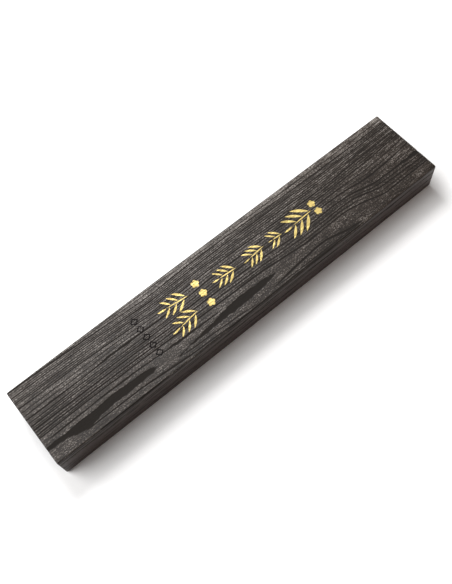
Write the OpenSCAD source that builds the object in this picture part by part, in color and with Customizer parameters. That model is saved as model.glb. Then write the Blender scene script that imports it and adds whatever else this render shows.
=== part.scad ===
// Long ink stick in a lidded presentation box, in millimetres.
// The box is a rigid set-up box: a tray and a full-depth lid, each one folded greyboard blank with taped
// corners, wrapped in grain-embossed paper that turns over the rim and down the inside of the walls.
// The stick lies in a cloth-covered foam cradle. X runs along the box, +Y is its far long side, and the
// origin is on the surface that the tray stands on, under the middle of the box.

/* [Box] */
// Length of the lid outside
box_l = 300; // [240:5:375]
// Width of the lid outside
box_w = 54.8; // [45:0.1:70]
// Height of the lid from its rim to its top face
lid_h = 22.7; // [18.5:0.1:32]
// Height of the lid's rim above the surface that the tray stands on
rim_gap = 0.5; // [0.2:0.1:2]
// Play between the lid and the tray on each side
fit_gap = 0.45; // [0.3:0.05:1]

/* [Board and paper] */
// Thickness of the greyboard
board_t = 1.5; // [1:0.05:2]
// Thickness of the embossed paper wrap
wrap_t = 0.3; // [0.2:0.01:0.4]
// Thickness of the lining sheets
liner_t = 0.15; // [0.1:0.01:0.3]
// Outside radius of the folded long and end edges
fold_r = 1.7; // [1:0.1:2.5]
// Outside radius of the upright corners
corner_r = 1; // [0.7:0.1:1.6]
// Width of the cut between two walls of a blank at a corner
slit_w = 0.12; // [0.1:0.02:0.3]
// Thickness of the paper tape that joins the walls
stay_t = 0.1; // [0.05:0.01:0.15]
// Reach of the tape on each side of a corner
stay_reach = 12; // [8:1:20]
// Distance of the tape from the fold and from the rim
stay_inset = 1; // [0.5:0.1:3]

/* [Stamped ornament] */
// Thickness of the stamped foil
foil_t = 0.05; // [0.03:0.01:0.1]
// Size of the two blossoms at the head of the ornament
small_blossom = 5.2; // [3:0.1:6]
// Size of the three blossoms in the cross row
large_blossom = 5.4; // [4:0.1:7]
// Length of a pressed lozenge along the box
lozenge_l = 5.4; // [4:0.1:7]
// Width of a pressed lozenge across the box
lozenge_w = 5; // [4:0.1:6]
// Width of a pressed lozenge's line
lozenge_line = 0.7; // [0.4:0.1:1]
// Gap between two lozenges
lozenge_gap = 1.4; // [0.5:0.1:2]

/* [Cradle] */
// Play between the cradle and the tray on each side
cradle_gap = 0.3; // [0.1:0.05:0.6]
// Thickness of the covering cloth
cloth_t = 0.4; // [0.2:0.01:0.6]
// Thickness of the card under the foam
card_t = 0.8; // [0.5:0.05:1.2]
// Thickness of the foam under the stick
bed_foam = 2.5; // [1.5:0.05:4]
// Cradle left between each end of the recess and the end of the cradle
end_pad = 30; // [15:1:50]
// Cradle left between each side of the recess and the side of the cradle
side_pad = 7; // [5:0.1:9]
// Corner radius of the recess and of the cradle
recess_r = 2; // [1:0.1:3]
// Length of the finger wells beside the stick
well_l = 26; // [20:1:34]
// Width of the cloth turned under the card
turn_under = 7; // [5:0.5:10]

/* [Ink stick] */
// Play between the stick and the cloth on each side
stick_gap = 0.5; // [0.35:0.05:1]
// Space between the stick and the lid's lining
head_room = 2; // [1:0.1:3]
// Height of the stick's top above the cradle
stick_show = 3.6; // [2:0.1:5]
// Radius of the stick's edges
stick_r = 1.4; // [1:0.1:2]
// Width of the raised border round each panel
border_w = 2.6; // [2:0.1:3]
// Depth of the sunk panels
panel_sink = 0.5; // [0.3:0.01:0.8]
// Corner radius of the sunk panels
panel_r = 1; // [0.5:0.1:1.5]
// Height of the gilt relief above its panel
relief_t = 0.35; // [0.2:0.01:0.5]
// Length of one joint of the gilt cane
cane_l = 20; // [14:0.5:28]
// Width of the gilt cane
cane_w = 1.8; // [1.2:0.1:2.4]
// Length of a leaf sprig in the relief
relief_sprig = 17; // [12:0.5:20]

/* [Hidden] */
$fn = 96;
eps = 0.01;

// Heights, from the outside face of a blank's paper or from the surface
top_z = rim_gap + lid_h;
floor_z = wrap_t + board_t;
lined_z = floor_z + liner_t;
ceiling_z = top_z - lined_z;           // face of the lid's lining, on which the tray's rim bears

// The tray fits inside the lid's wall of paper, board and paper
wall_t = 2 * wrap_t + board_t;
tray_l = box_l - 2 * (wall_t + fit_gap);
tray_w = box_w - 2 * (wall_t + fit_gap);
tray_h = ceiling_z;

// The cradle fits inside the tray and stands on its lining
cradle_l = tray_l - 2 * (wall_t + cradle_gap);
cradle_w = tray_w - 2 * (wall_t + cradle_gap);
bed_z = lined_z + card_t + bed_foam + 2 * cloth_t;
recess_l = cradle_l - 2 * end_pad;
recess_w = cradle_w - 2 * side_pad;

// The stick fills the recess and the height over the bed, but for its gaps
stick_l = recess_l - 2 * stick_gap;
stick_w = recess_w - 2 * stick_gap;
stick_t = ceiling_z - head_room - bed_z;
stick_z = bed_z + stick_t / 2;
cradle_h = bed_z + stick_t - stick_show - lined_z;
panel_l = stick_l - 2 * border_w;
panel_w = stick_w - 2 * border_w;

// Stamped sprigs: place of the head, length, width, pairs of leaves, turn
stamped_sprigs = [
    [67, 1.5, 24, 18, 3, 3],
    [41.5, 1, 10.5, 12, 2, -4],
    [27, 2, 17, 13, 3, 5],
    [4.5, 1.5, 18, 13, 3, -5],
    [-30, 6.2, 22, 13.4, 3, -7],
    [-31, -5.4, 22, 13.4, 3, 7],
];

// A sprig is a stem with leaves on both sides and one at its foot, none of them touching
sprig_gap = 0.25;
stem_share = 0.7;                      // length of the stem as a share of the sprig
stem_bulge = 0.42;
leaf_angle = 42;                       // angle between a leaf and the stem
leaf_back = 0.12;                      // bulge of a leaf's outer side as a share of its length
leaf_front = 0.05;                     // bulge of its inner side
leaf_taper = 0.28;                     // how much shorter the last pair is than the first
leaf_steps = 10;                       // straight steps in each side of a leaf
leaf_stagger = 0.16;                   // how far the two sides are out of step, as a share of their pitch

// Blossoms: place and size
blossoms = [
    [69.9, 5, small_blossom],
    [69.9, -1.8, small_blossom],
    [-21.9, 9.6, large_blossom],
    [-21.9, 1.6, large_blossom],
    [-21.9, -6.4, large_blossom],
];
petals = 5;
petal_share = 0.2;                     // radius of a petal as a share of the blossom's size

// Pressed lozenges: one row across the lid
lozenge_x = -65.7;
lozenge_y = 1.1;
lozenges = 5;

// Gilt cane and its leaves in the upper panel
relief_margin = 3;
cane_gap = 0.8;
cane_r = 0.6;
cane_pitch = cane_l + cane_gap;
canes = floor((panel_l - 2 * relief_margin + cane_gap) / cane_pitch);
cane_y = -panel_w / 2 + relief_margin;
relief_w = panel_w / 2 - relief_margin - cane_y - cane_w;
relief_y = cane_y + cane_w + relief_w / 2;
relief_pairs = 3;
relief_turn = 4;

// ---- shapes that repeat ----

// Rectangle with round corners, centred on the origin
module round_plate(l, w, r) {
    square([l - 2 * r, w], center = true);
    square([l, w - 2 * r], center = true);
    for (sx = [-1, 1], sy = [-1, 1])
        translate([sx * (l / 2 - r), sy * (w / 2 - r)]) circle(r);
}

// Upright rectangle on the X axis whose two lower corners are round
module cup_profile(w, h, r) {
    translate([-w / 2, r]) square([w, h - r]);
    translate([-w / 2 + r, 0]) square([w - 2 * r, r + eps]);
    for (s = [-1, 1]) translate([s * (w / 2 - r), r]) circle(r);
}

// Runs a profile drawn across the box along its length, or one drawn along it across its width
module along_x(l) { rotate([90, 0, 90]) translate([0, 0, -l / 2]) linear_extrude(l) children(); }
module along_y(w) { rotate([90, 0, 0]) translate([0, 0, -w / 2]) linear_extrude(w) children(); }

// Block on z = 0 with folded lower edges and round upright corners
module folded_block(l, w, h, edge_r, upright_r) {
    intersection() {
        linear_extrude(h) round_plate(l, w, upright_r);
        along_x(l) cup_profile(w, h, edge_r);
        along_y(w) cup_profile(l, h, edge_r);
    }
}

// Bar centred on the origin with every edge round
module round_bar(l, w, t, r) {
    intersection() {
        translate([0, 0, -t / 2]) linear_extrude(t) round_plate(l, w, r);
        along_x(l) round_plate(w, t, r);
        along_y(w) round_plate(l, t, r);
    }
}

// ---- one half of the box, open side up, outside size l by w by h with its paper ----

// Outside of the board of a half, as a full block
module blank_block(l, w, h) {
    translate([0, 0, wrap_t])
        folded_block(l - 2 * wrap_t, w - 2 * wrap_t, h - 2 * wrap_t, fold_r - wrap_t, corner_r - wrap_t);
}

// Folded blank: the end walls stand between the long walls, with a cut at each corner
module half_board(l, w, h) {
    in_l = l - 2 * floor_z;
    in_w = w - 2 * floor_z;
    difference() {
        blank_block(l, w, h);
        translate([-in_l / 2, -in_w / 2, floor_z]) cube([in_l, in_w, h]);
        for (sx = [-1, 1], sy = [-1, 1])
            translate([sx * (l / 2 - wrap_t - board_t / 2), sy * (in_w / 2 - slit_w / 2), floor_z + h / 2])
                cube([board_t + 2 * eps, slit_w, h], center = true);
    }
}

// Paper tape round the four corners of a blank, clear of its fold and its rim
module half_stays(l, w, h) {
    low = fold_r + stay_inset;
    high = h - wrap_t - stay_inset;
    board_l = l - 2 * wrap_t;
    board_w = w - 2 * wrap_t;
    intersection() {
        translate([0, 0, low]) linear_extrude(high - low) difference() {
            round_plate(board_l + 2 * stay_t, board_w + 2 * stay_t, corner_r - wrap_t + stay_t);
            round_plate(board_l, board_w, corner_r - wrap_t);
        }
        for (sx = [-1, 1], sy = [-1, 1])
            translate([sx * board_l / 2, sy * board_w / 2, h / 2])
                cube([2 * stay_reach, 2 * stay_reach, h], center = true);
    }
}

// Paper over the outside, round the rim and down the inside of the walls to the lining sheet
module half_wrap(l, w, h) {
    in_l = l - 2 * floor_z;
    in_w = w - 2 * floor_z;
    difference() {
        union() {
            difference() {
                folded_block(l, w, h, fold_r, corner_r);
                blank_block(l, w, h);
                half_stays(l, w, h);
            }
            translate([-in_l / 2, -in_w / 2, lined_z]) cube([in_l, in_w, h - lined_z]);
        }
        translate([-in_l / 2 + wrap_t, -in_w / 2 + wrap_t, lined_z - eps])
            cube([in_l - 2 * wrap_t, in_w - 2 * wrap_t, h]);
    }
}

// Lining sheet on the floor of a half
module half_liner(l, w) {
    in_l = l - 2 * floor_z - 2 * liner_t;
    in_w = w - 2 * floor_z - 2 * liner_t;
    translate([-in_l / 2, -in_w / 2, floor_z]) cube([in_l, in_w, liner_t]);
}

// Turns a half over, to close the box as its lid
module as_lid() { translate([0, 0, top_z]) mirror([0, 0, 1]) children(); }

module lid_board() { color([0.52, 0.50, 0.47]) as_lid() half_board(box_l, box_w, lid_h); }
module lid_corner_stays() { color([0.62, 0.47, 0.31]) as_lid() half_stays(box_l, box_w, lid_h); }
module lid_wrap() { color([0.10, 0.085, 0.075]) as_lid() half_wrap(box_l, box_w, lid_h); }
module lid_liner() { color([0.80, 0.76, 0.66]) as_lid() half_liner(box_l, box_w); }

module tray_board() { color([0.52, 0.50, 0.47]) half_board(tray_l, tray_w, tray_h); }
module tray_corner_stays() { color([0.62, 0.47, 0.31]) half_stays(tray_l, tray_w, tray_h); }
module tray_wrap() { color([0.10, 0.085, 0.075]) half_wrap(tray_l, tray_w, tray_h); }
module tray_liner() { color([0.80, 0.76, 0.66]) half_liner(tray_l, tray_w); }

// ---- stamped ornament ----

// Points of the arc from the origin to [len, 0] that bulges to +Y by this much
function arc_points(len, bulge) =
    let (r = (len * len / 4 + bulge * bulge) / (2 * bulge), half = 2 * atan(2 * bulge / len))
    [for (i = [0:leaf_steps])
        let (a = 90 + half - 2 * half * i / leaf_steps)
        [len / 2 + r * cos(a), bulge - r + r * sin(a)]];

// Leaf from the origin along +X, between an arc that bulges to +Y and one that bulges to -Y
module leaf(len, back, front) {
    lower = arc_points(len, front);
    polygon(concat(arc_points(len, back), [for (i = [leaf_steps - 1:-1:1]) [lower[i][0], -lower[i][1]]]));
}

// Sprig from the origin towards -X
module sprig(len, wid, pairs) {
    stem_l = len * stem_share;
    pitch = stem_l / pairs;
    start_y = stem_bulge + sprig_gap;
    full_l = (wid / 2 - start_y) / sin(leaf_angle);
    foot_l = len - stem_l - sprig_gap;
    rotate(180) {
        leaf(stem_l, stem_bulge, stem_bulge);
        translate([stem_l + sprig_gap, 0]) leaf(foot_l, foot_l * leaf_back, foot_l * leaf_front);
        for (i = [0:pairs - 1], s = [-1, 1]) {
            leaf_l = full_l * (1 - leaf_taper * i / pairs);
            translate([(i + 0.5 + s * leaf_stagger) * pitch, s * start_y])
                mirror([0, s < 0 ? 1 : 0]) rotate(leaf_angle)
                    leaf(leaf_l, leaf_l * leaf_back, leaf_l * leaf_front);
        }
    }
}

// Round petals and a heart in a circle of the given size
module blossom(size) {
    petal_r = size * petal_share;
    circle(petal_r);
    for (i = [0:petals - 1]) rotate(360 / petals * i) translate([size / 2 - petal_r, 0]) circle(petal_r);
}

module lozenge(l, w) { polygon([[l / 2, 0], [0, w / 2], [-l / 2, 0], [0, -w / 2]]); }

module foil_sprigs() {
    color([0.80, 0.66, 0.33]) translate([0, 0, top_z]) linear_extrude(foil_t)
        for (s = stamped_sprigs) translate([s[0], s[1]]) rotate(s[5]) sprig(s[2], s[3], s[4]);
}

module foil_blossoms() {
    color([0.80, 0.66, 0.33]) translate([0, 0, top_z]) linear_extrude(foil_t)
        for (b = blossoms) translate([b[0], b[1]]) blossom(b[2]);
}

module pressed_lozenges() {
    inner = 1 - 2 * lozenge_line / lozenge_w;
    first_y = lozenge_y - (lozenges - 1) / 2 * (lozenge_w + lozenge_gap);
    color([0.03, 0.025, 0.025]) translate([0, 0, top_z]) linear_extrude(foil_t)
        for (i = [0:lozenges - 1])
            translate([lozenge_x, first_y + i * (lozenge_w + lozenge_gap)]) difference() {
                lozenge(lozenge_l, lozenge_w);
                lozenge(lozenge_l * inner, lozenge_w * inner);
            }
}

// ---- cradle ----

// Padded block with the stick's recess and the two finger wells, taken in by skin on every side
module cradle_form(skin) {
    difference() {
        translate([0, 0, lined_z + skin]) linear_extrude(cradle_h - 2 * skin)
            round_plate(cradle_l - 2 * skin, cradle_w - 2 * skin, recess_r);
        translate([0, 0, bed_z - skin]) linear_extrude(cradle_h) {
            round_plate(recess_l + 2 * skin, recess_w + 2 * skin, recess_r + skin);
            square([well_l + 2 * skin, 2 * cradle_w], center = true);
        }
    }
}

module cradle_card() {
    color([0.86, 0.84, 0.78]) translate([0, 0, lined_z + cloth_t]) linear_extrude(card_t)
        round_plate(cradle_l - 2 * cloth_t, cradle_w - 2 * cloth_t, recess_r);
}

module cradle_foam() {
    color([0.90, 0.88, 0.80]) difference() {
        cradle_form(cloth_t);
        translate([-cradle_l / 2, -cradle_w / 2, 0]) cube([cradle_l, cradle_w, lined_z + cloth_t + card_t]);
    }
}

// Cloth over the foam, in the recess and the wells, and turned under the card
module cradle_cover() {
    color([0.85, 0.78, 0.62]) difference() {
        cradle_form(0);
        cradle_form(cloth_t);
        translate([0, 0, lined_z - eps]) linear_extrude(cloth_t + 2 * eps)
            square([cradle_l - 2 * turn_under, cradle_w - 2 * turn_under], center = true);
    }
}

// ---- ink stick ----

module ink_stick() {
    side_panel_w = stick_t - 2 * border_w;
    color([0.05, 0.05, 0.055]) translate([0, 0, stick_z]) difference() {
        round_bar(stick_l, stick_w, stick_t, stick_r);
        for (s = [0, 180]) rotate([s, 0, 0])
            translate([0, 0, stick_t / 2 - panel_sink]) linear_extrude(stick_t)
                round_plate(panel_l, panel_w, panel_r);
        for (s = [-90, 90]) rotate([s, 0, 0])
            translate([0, 0, stick_w / 2 - panel_sink]) linear_extrude(stick_w)
                round_plate(panel_l, side_panel_w, panel_r);
    }
}

// Gilt bamboo in low relief on the upper panel: a jointed cane with a sprig over each joint
module stick_gilding() {
    first_x = -(canes - 1) / 2 * cane_pitch;
    color([0.80, 0.66, 0.33])
        translate([0, 0, stick_z + stick_t / 2 - panel_sink]) linear_extrude(relief_t) {
            for (i = [0:canes - 1])
                translate([first_x + i * cane_pitch, cane_y]) round_plate(cane_l, cane_w, cane_r);
            for (i = [0:canes - 2])
                translate([first_x + (i + 0.5) * cane_pitch + relief_sprig / 2, relief_y])
                    rotate(i % 2 == 0 ? relief_turn : -relief_turn) sprig(relief_sprig, relief_w, relief_pairs);
        }
}

lid_board();
lid_corner_stays();
lid_wrap();
lid_liner();
foil_sprigs();
foil_blossoms();
pressed_lozenges();
tray_board();
tray_corner_stays();
tray_wrap();
tray_liner();
cradle_card();
cradle_foam();
cradle_cover();
ink_stick();
stick_gilding();
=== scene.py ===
"""A long ink stick in a lidded presentation box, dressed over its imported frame.

Lengths are in metres. X runs along the box, Y across it towards its far long side, and Z up. The lid and the
tray are wrapped in wood-grain paper, the lid is stamped with sprigs and blossoms, and the stick lies in a
cloth-covered cradle.
"""

import logging
import math
from abc import ABC, abstractmethod
from collections.abc import Callable, Sequence
from dataclasses import dataclass, field
from enum import Enum

import bmesh
import bpy
import numpy as np
from mathutils import Matrix, Vector
from mathutils.kdtree import KDTree


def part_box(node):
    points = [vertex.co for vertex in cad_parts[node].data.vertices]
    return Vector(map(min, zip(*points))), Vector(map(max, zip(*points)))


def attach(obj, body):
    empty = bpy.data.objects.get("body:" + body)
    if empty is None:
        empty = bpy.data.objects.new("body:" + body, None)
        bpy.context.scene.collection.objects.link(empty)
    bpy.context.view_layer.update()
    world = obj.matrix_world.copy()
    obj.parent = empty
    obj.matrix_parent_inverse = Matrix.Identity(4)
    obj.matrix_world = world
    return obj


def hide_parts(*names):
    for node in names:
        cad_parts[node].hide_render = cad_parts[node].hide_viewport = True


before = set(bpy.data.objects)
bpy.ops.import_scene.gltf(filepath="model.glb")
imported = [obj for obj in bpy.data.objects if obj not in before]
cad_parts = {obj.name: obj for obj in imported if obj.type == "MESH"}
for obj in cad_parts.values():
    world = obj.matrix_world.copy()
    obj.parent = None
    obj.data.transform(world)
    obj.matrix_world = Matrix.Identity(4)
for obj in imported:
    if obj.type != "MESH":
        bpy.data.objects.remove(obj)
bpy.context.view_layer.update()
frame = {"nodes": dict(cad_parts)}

MM = 0.001
LOG = logging.getLogger("ink_stick_box")
Color = tuple[float, float, float]
Socket = bpy.types.NodeSocket
Points = np.ndarray
Range = tuple[float, float]

GRAIN_ATTRIBUTE = "grain_depth"
PLACE_ATTRIBUTE = "sheet_place"

# Length below which a vector has no direction.
TINY = 1e-9
# Distance at which two points are the same.
WELD = 0.001 * MM
# Range that holds nearly all the values of a noise texture.
NOISE_RANGE = (0.3, 0.7)
UNIT_RANGE = (0.0, 1.0)


class Side(Enum):
    """Which way the closed face of a half of the box looks."""

    UP = 1
    DOWN = -1


# --------------------------------------------------------------------------------------------------
# Numbers that wander
# --------------------------------------------------------------------------------------------------


def smooth(value: Points) -> Points:
    """Eases a value from 0 to 1 and holds it outside.

    Args:
        value: Any array.

    Returns:
        The eased array, between 0 and 1.
    """
    held = np.clip(value, 0.0, 1.0)
    return held * held * (3.0 - 2.0 * held)


@dataclass
class Wander:
    """Seeded smooth noise on a line or over a plane, between -1 and 1."""

    seed: int

    def __post_init__(self) -> None:
        """Starts the row of random numbers."""
        self.random = np.random.default_rng(self.seed)

    def line(self, places: Points, step: float) -> Points:
        """Noise along a line.

        Args:
            places: Where it is wanted.
            step: Distance between two turns.

        Returns:
            One value for each place.
        """
        offset = (places - places.min()) / step
        knots = self.random.uniform(-1.0, 1.0, int(offset.max()) + 2)
        low = offset.astype(int)
        share = smooth(offset - low)
        return knots[low] * (1.0 - share) + knots[low + 1] * share

    def plane(self, first: Points, second: Points, first_step: float, second_step: float) -> Points:
        """Noise over a plane.

        Args:
            first: First coordinates.
            second: Second coordinates, in the same shape.
            first_step: Distance between two turns along the first.
            second_step: Distance between two turns along the second.

        Returns:
            One value for each place.
        """
        across = (first - first.min()) / first_step
        along = (second - second.min()) / second_step
        knots = self.random.uniform(-1.0, 1.0, (int(across.max()) + 2, int(along.max()) + 2))
        i = across.astype(int)
        j = along.astype(int)
        s = smooth(across - i)
        t = smooth(along - j)
        near = knots[i, j] * (1.0 - t) + knots[i, j + 1] * t
        far = knots[i + 1, j] * (1.0 - t) + knots[i + 1, j + 1] * t
        return near * (1.0 - s) + far * s


# --------------------------------------------------------------------------------------------------
# The pressed wood grain
# --------------------------------------------------------------------------------------------------


LONG_STATIONS = (0.0, 0.13, 0.22, 0.33, 0.45, 0.55, 0.66, 0.77, 0.81, 0.87, 0.93, 1.0)


@dataclass(frozen=True)
class GrainLine:
    """One pressed line of the grain.

    Attributes:
        levels: Its distance from the far edge at each station, as shares of the lid's width.
        width: Half of its width.
        strength: Its depth, from 0 to 1.
        stations: The stations, as shares of the lid's length.
        open_ended: Whether it runs on past its first and last stations.
    """

    levels: tuple[float, ...]
    width: float = 0.30 * MM
    strength: float = 0.95
    stations: tuple[float, ...] = LONG_STATIONS
    open_ended: bool = True


@dataclass(frozen=True)
class Flame:
    """A long dark leaf-shaped figure in the grain.

    Attributes:
        stations: Where its edges are given, as shares of the lid's length.
        far: Its far edge at each station, as shares of the lid's width.
        near: Its near edge at each station.
    """

    stations: tuple[float, ...]
    far: tuple[float, ...]
    near: tuple[float, ...]


@dataclass
class WoodGrain:
    """The grain that is pressed into the wrapping paper, drawn over the lid's unfolded sheet.

    Distances called shares are shares of the lid's length along the sheet and of its width across it.

    Attributes:
        length: Length of the lid.
        width: Width of the lid.
        seed: Start of the random numbers.
        reach: How far the sheet goes on past the lid on every side, as a share.
        lines: The grain's own lines over the lid.
        flames: Its dark leaf-shaped figures.
        across_step: Distance between the map's points across the sheet.
        along_step: Distance between them along it.
        wobble: How far a line strays, as a share.
        wobble_turns: Shares along the sheet between its slow turns and between its quick ones.
        blur: Share of the length over which a line's corners are smoothed.
        width_change: How much a line's width changes.
        width_turn: Share along the sheet between two changes of width.
        strength_level: Usual share of a line's strength.
        strength_change: How much its strength changes.
        strength_turn: Share along the sheet between two changes of strength.
        taper: Share along the sheet over which a line with ends fades.
        taper_width: Share of its width that is left at such an end.
        side_start: Share past each long edge at which the walls' lines start.
        side_line_gap: Usual share between two of them.
        side_tilt: How far they lean, in gaps.
        side_swell: How far they bend, in gaps.
        side_strength: Range of their strengths.
        side_spacing: Range of the distances between them, in gaps.
        between_shares: Where two softer lines stand between two lines.
        between_shift: How far they may stray from there.
        between_width: Half of their width.
        between_strength: Range of their strengths.
        flame_depth: Depth of a flame.
        flame_edge: Share across the sheet over which its edge slopes.
        flame_rags: Size and spacing of each raggedness of its edges.
        fibres: How many fine streaks there are.
        fibre_reach: How far they go on past the lid's ends, as a share.
        fibre_half_mm: Range of half of their length, in millimetres.
        fibre_width_mm: Range of half of their width, in millimetres.
        fibre_strength: Range of their strengths.
        map: The drawn depths, one row for each step across the sheet.
    """

    length: float
    width: float
    seed: int = 11
    reach: float = 0.95
    lines: tuple[GrainLine, ...] = (
        GrainLine(
            (0.005, 0.008, 0.011, 0.013, 0.011, 0.010, 0.010, 0.010, 0.010, 0.010, 0.010, 0.010),
            strength=0.6,
        ),
        GrainLine((0.022, 0.050, 0.075, 0.109, 0.091, 0.094, 0.111, 0.126, 0.128, 0.130, 0.128, 0.125)),
        GrainLine((0.100, 0.113, 0.133, 0.169, 0.158, 0.155, 0.162, 0.180, 0.181, 0.188, 0.186, 0.180)),
        GrainLine(
            (0.168, 0.188, 0.200, 0.233, 0.219, 0.226, 0.242, 0.253, 0.255, 0.252, 0.250, 0.245),
            strength=0.75,
        ),
        GrainLine((0.245, 0.252, 0.270, 0.304, 0.291, 0.300, 0.325, 0.332, 0.331, 0.320, 0.312, 0.305)),
        GrainLine(
            (0.403, 0.405, 0.394, 0.412, 0.388, 0.391, 0.405, 0.415, 0.412, 0.408, 0.396, 0.366),
            0.34 * MM, 1.0,
        ),
        GrainLine(
            (0.449, 0.449, 0.459, 0.465, 0.445, 0.450, 0.466, 0.470, 0.473, 0.486, 0.480, 0.446),
            strength=0.6,
        ),
        GrainLine(
            (0.493, 0.495, 0.500, 0.510, 0.503, 0.503, 0.518, 0.530, 0.541, 0.582, 0.571, 0.531),
            0.30 * MM,
        ),
        GrainLine(
            (0.544, 0.546, 0.549, 0.563, 0.561, 0.571, 0.610, 0.602, 0.616, 0.690, 0.699, 0.705),
            0.36 * MM, 1.0,
        ),
        GrainLine((0.607, 0.607, 0.612, 0.621, 0.630, 0.645, 0.682, 0.676, 0.684, 0.775, 0.786, 0.796)),
        GrainLine(
            (0.653, 0.648, 0.654, 0.670, 0.688, 0.697, 0.756, 0.746, 0.778, 0.872, 0.868, 0.870),
            0.40 * MM, 1.0,
        ),
        GrainLine((0.727, 0.714, 0.720, 0.757, 0.765), 0.32 * MM, 0.95, (0.0, 0.13, 0.22, 0.33, 0.45), False),
        GrainLine((0.028, 0.032, 0.047), 0.22 * MM, 0.6, (0.19, 0.33, 0.43), False),
        GrainLine((0.063, 0.062), 0.22 * MM, 0.4, (0.62, 0.80), False),
        GrainLine((0.903, 0.904, 0.912, 0.960, 0.985), 0.34 * MM, 1.0, (0.06, 0.13, 0.22, 0.33, 0.45), False),
        GrainLine((0.893, 0.913, 0.923, 0.946, 0.975), 0.26 * MM, 0.8, (0.29, 0.34, 0.39, 0.45, 0.52), False),
        GrainLine(
            (0.943, 0.906, 0.872, 0.873, 0.940, 0.966),
            0.46 * MM, 1.0, (0.53, 0.60, 0.667, 0.70, 0.745, 0.80), False,
        ),
        GrainLine((0.940, 0.955, 0.962, 0.970), 0.24 * MM, 0.7, (0.53, 0.62, 0.70, 0.80), False),
        GrainLine((0.632, 0.634, 0.624, 0.640), 0.20 * MM, 0.55, (0.60, 0.70, 0.77, 0.82), False),
        GrainLine((0.712, 0.716, 0.702, 0.735), 0.20 * MM, 0.55, (0.62, 0.70, 0.77, 0.82), False),
        GrainLine((0.992, 0.990), 0.40 * MM, 0.9, (0.08, 0.28), False),
        GrainLine((0.988, 0.980, 0.984), 0.40 * MM, 0.9, (0.40, 0.60, 0.80), False),
    )
    flames: tuple[Flame, ...] = (
        Flame(
            (-0.05, 0.045, 0.065, 0.09, 0.12, 0.15, 0.185, 0.22, 0.245, 0.26),
            (0.790, 0.785, 0.782, 0.780, 0.776, 0.762, 0.768, 0.782, 0.795, 0.822),
            (0.805, 0.840, 0.880, 0.902, 0.868, 0.858, 0.856, 0.854, 0.848, 0.822),
        ),
        Flame(
            (0.290, 0.333, 0.37, 0.415, 0.45, 0.48, 0.52, 0.55, 0.568),
            (0.902, 0.868, 0.842, 0.812, 0.772, 0.769, 0.780, 0.790, 0.812),
            (0.902, 0.876, 0.871, 0.869, 0.868, 0.864, 0.857, 0.838, 0.812),
        ),
        Flame((0.17, 0.19, 0.23, 0.27), (0.402, 0.386, 0.384, 0.398), (0.406, 0.404, 0.406, 0.406)),
        Flame((0.93, 0.97, 1.0, 1.2), (0.694, 0.684, 0.680, 0.675), (0.702, 0.712, 0.735, 0.740)),
        Flame((0.30, 0.32, 0.36, 0.40), (0.742, 0.742, 0.744, 0.762), (0.748, 0.766, 0.766, 0.766)),
    )
    across_step: float = 0.12 * MM
    along_step: float = 0.30 * MM
    wobble: float = 0.0016
    wobble_turns: tuple[float, float] = (0.05, 0.012)
    blur: float = 0.018
    width_change: float = 0.35
    width_turn: float = 0.06
    strength_level: float = 0.88
    strength_change: float = 0.18
    strength_turn: float = 0.05
    taper: float = 0.04
    taper_width: float = 0.4
    side_start: float = 0.03
    side_line_gap: float = 0.068
    side_tilt: float = 0.5
    side_swell: float = 0.25
    side_strength: tuple[float, float] = (0.45, 0.95)
    side_spacing: tuple[float, float] = (0.6, 1.5)
    between_shares: tuple[float, float] = (0.34, 0.68)
    between_shift: float = 0.06
    between_width: float = 0.17 * MM
    between_strength: tuple[float, float] = (0.50, 0.82)
    flame_depth: float = 0.9
    flame_edge: float = 0.006
    flame_rags: tuple[tuple[float, float], ...] = ((0.006, 0.003), (0.005, 0.014))
    fibres: int = 2600
    fibre_reach: float = 0.2
    fibre_half_mm: tuple[float, float] = (2.0, 13.0)
    fibre_width_mm: tuple[float, float] = (0.10, 0.22)
    fibre_strength: tuple[float, float] = (0.08, 0.34)
    map: Points = field(init=False)

    def __post_init__(self) -> None:
        """Draws the map."""
        self.wander = Wander(self.seed)
        self.us = np.arange(-self.reach, 1.0 + self.reach, self.along_step / self.length)
        self.vs = np.arange(-self.reach, 1.0 + self.reach, self.across_step / self.width)
        self.map = np.zeros((len(self.vs), len(self.us)), dtype=np.float32)
        for line in self.lines + self.side_lines() + self.between_lines():
            self.draw_line(line)
        for flame in self.flames:
            self.draw_flame(flame)
        self.draw_fibres()
        np.clip(self.map, 0.0, 1.0, out=self.map)

    def side_lines(self) -> tuple[GrainLine, ...]:
        """Lines for the parts of the sheet that fold down the sides and over the rim.

        Returns:
            Lines beyond both long edges, loosely spaced.
        """
        lines = []
        random = self.wander.random
        gap = self.side_line_gap
        shares = np.array(LONG_STATIONS)
        for edge, way in ((1.0 + self.side_start, 1.0), (-self.side_start, -1.0)):
            level = edge
            while abs(level - 0.5) < 0.5 + self.reach:
                tilt = random.uniform(-self.side_tilt, self.side_tilt) * gap
                swell = random.uniform(-self.side_swell, self.side_swell, len(LONG_STATIONS)) * gap
                levels = tuple(float(value) for value in level + tilt * shares + swell)
                strength = random.uniform(*self.side_strength)
                lines.append(GrainLine(levels, strength=float(strength)))
                level += way * gap * random.uniform(*self.side_spacing)
        return tuple(lines)

    def between_lines(self) -> tuple[GrainLine, ...]:
        """Thin lines between the long lines, as the softer year rings.

        Returns:
            One or two lines in each gap.
        """
        long_lines = [line for line in self.lines if line.open_ended]
        lines = []
        for upper, lower in zip(long_lines, long_lines[1:]):
            gap = lower.levels[0] - upper.levels[0]
            shares = (0.5,) if gap < self.side_line_gap else self.between_shares
            for share in shares:
                share += self.wander.random.uniform(-self.between_shift, self.between_shift)
                levels = tuple(a + (b - a) * share for a, b in zip(upper.levels, lower.levels))
                strength = self.wander.random.uniform(*self.between_strength)
                lines.append(GrainLine(levels, self.between_width, float(strength)))
        return tuple(lines)

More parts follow.
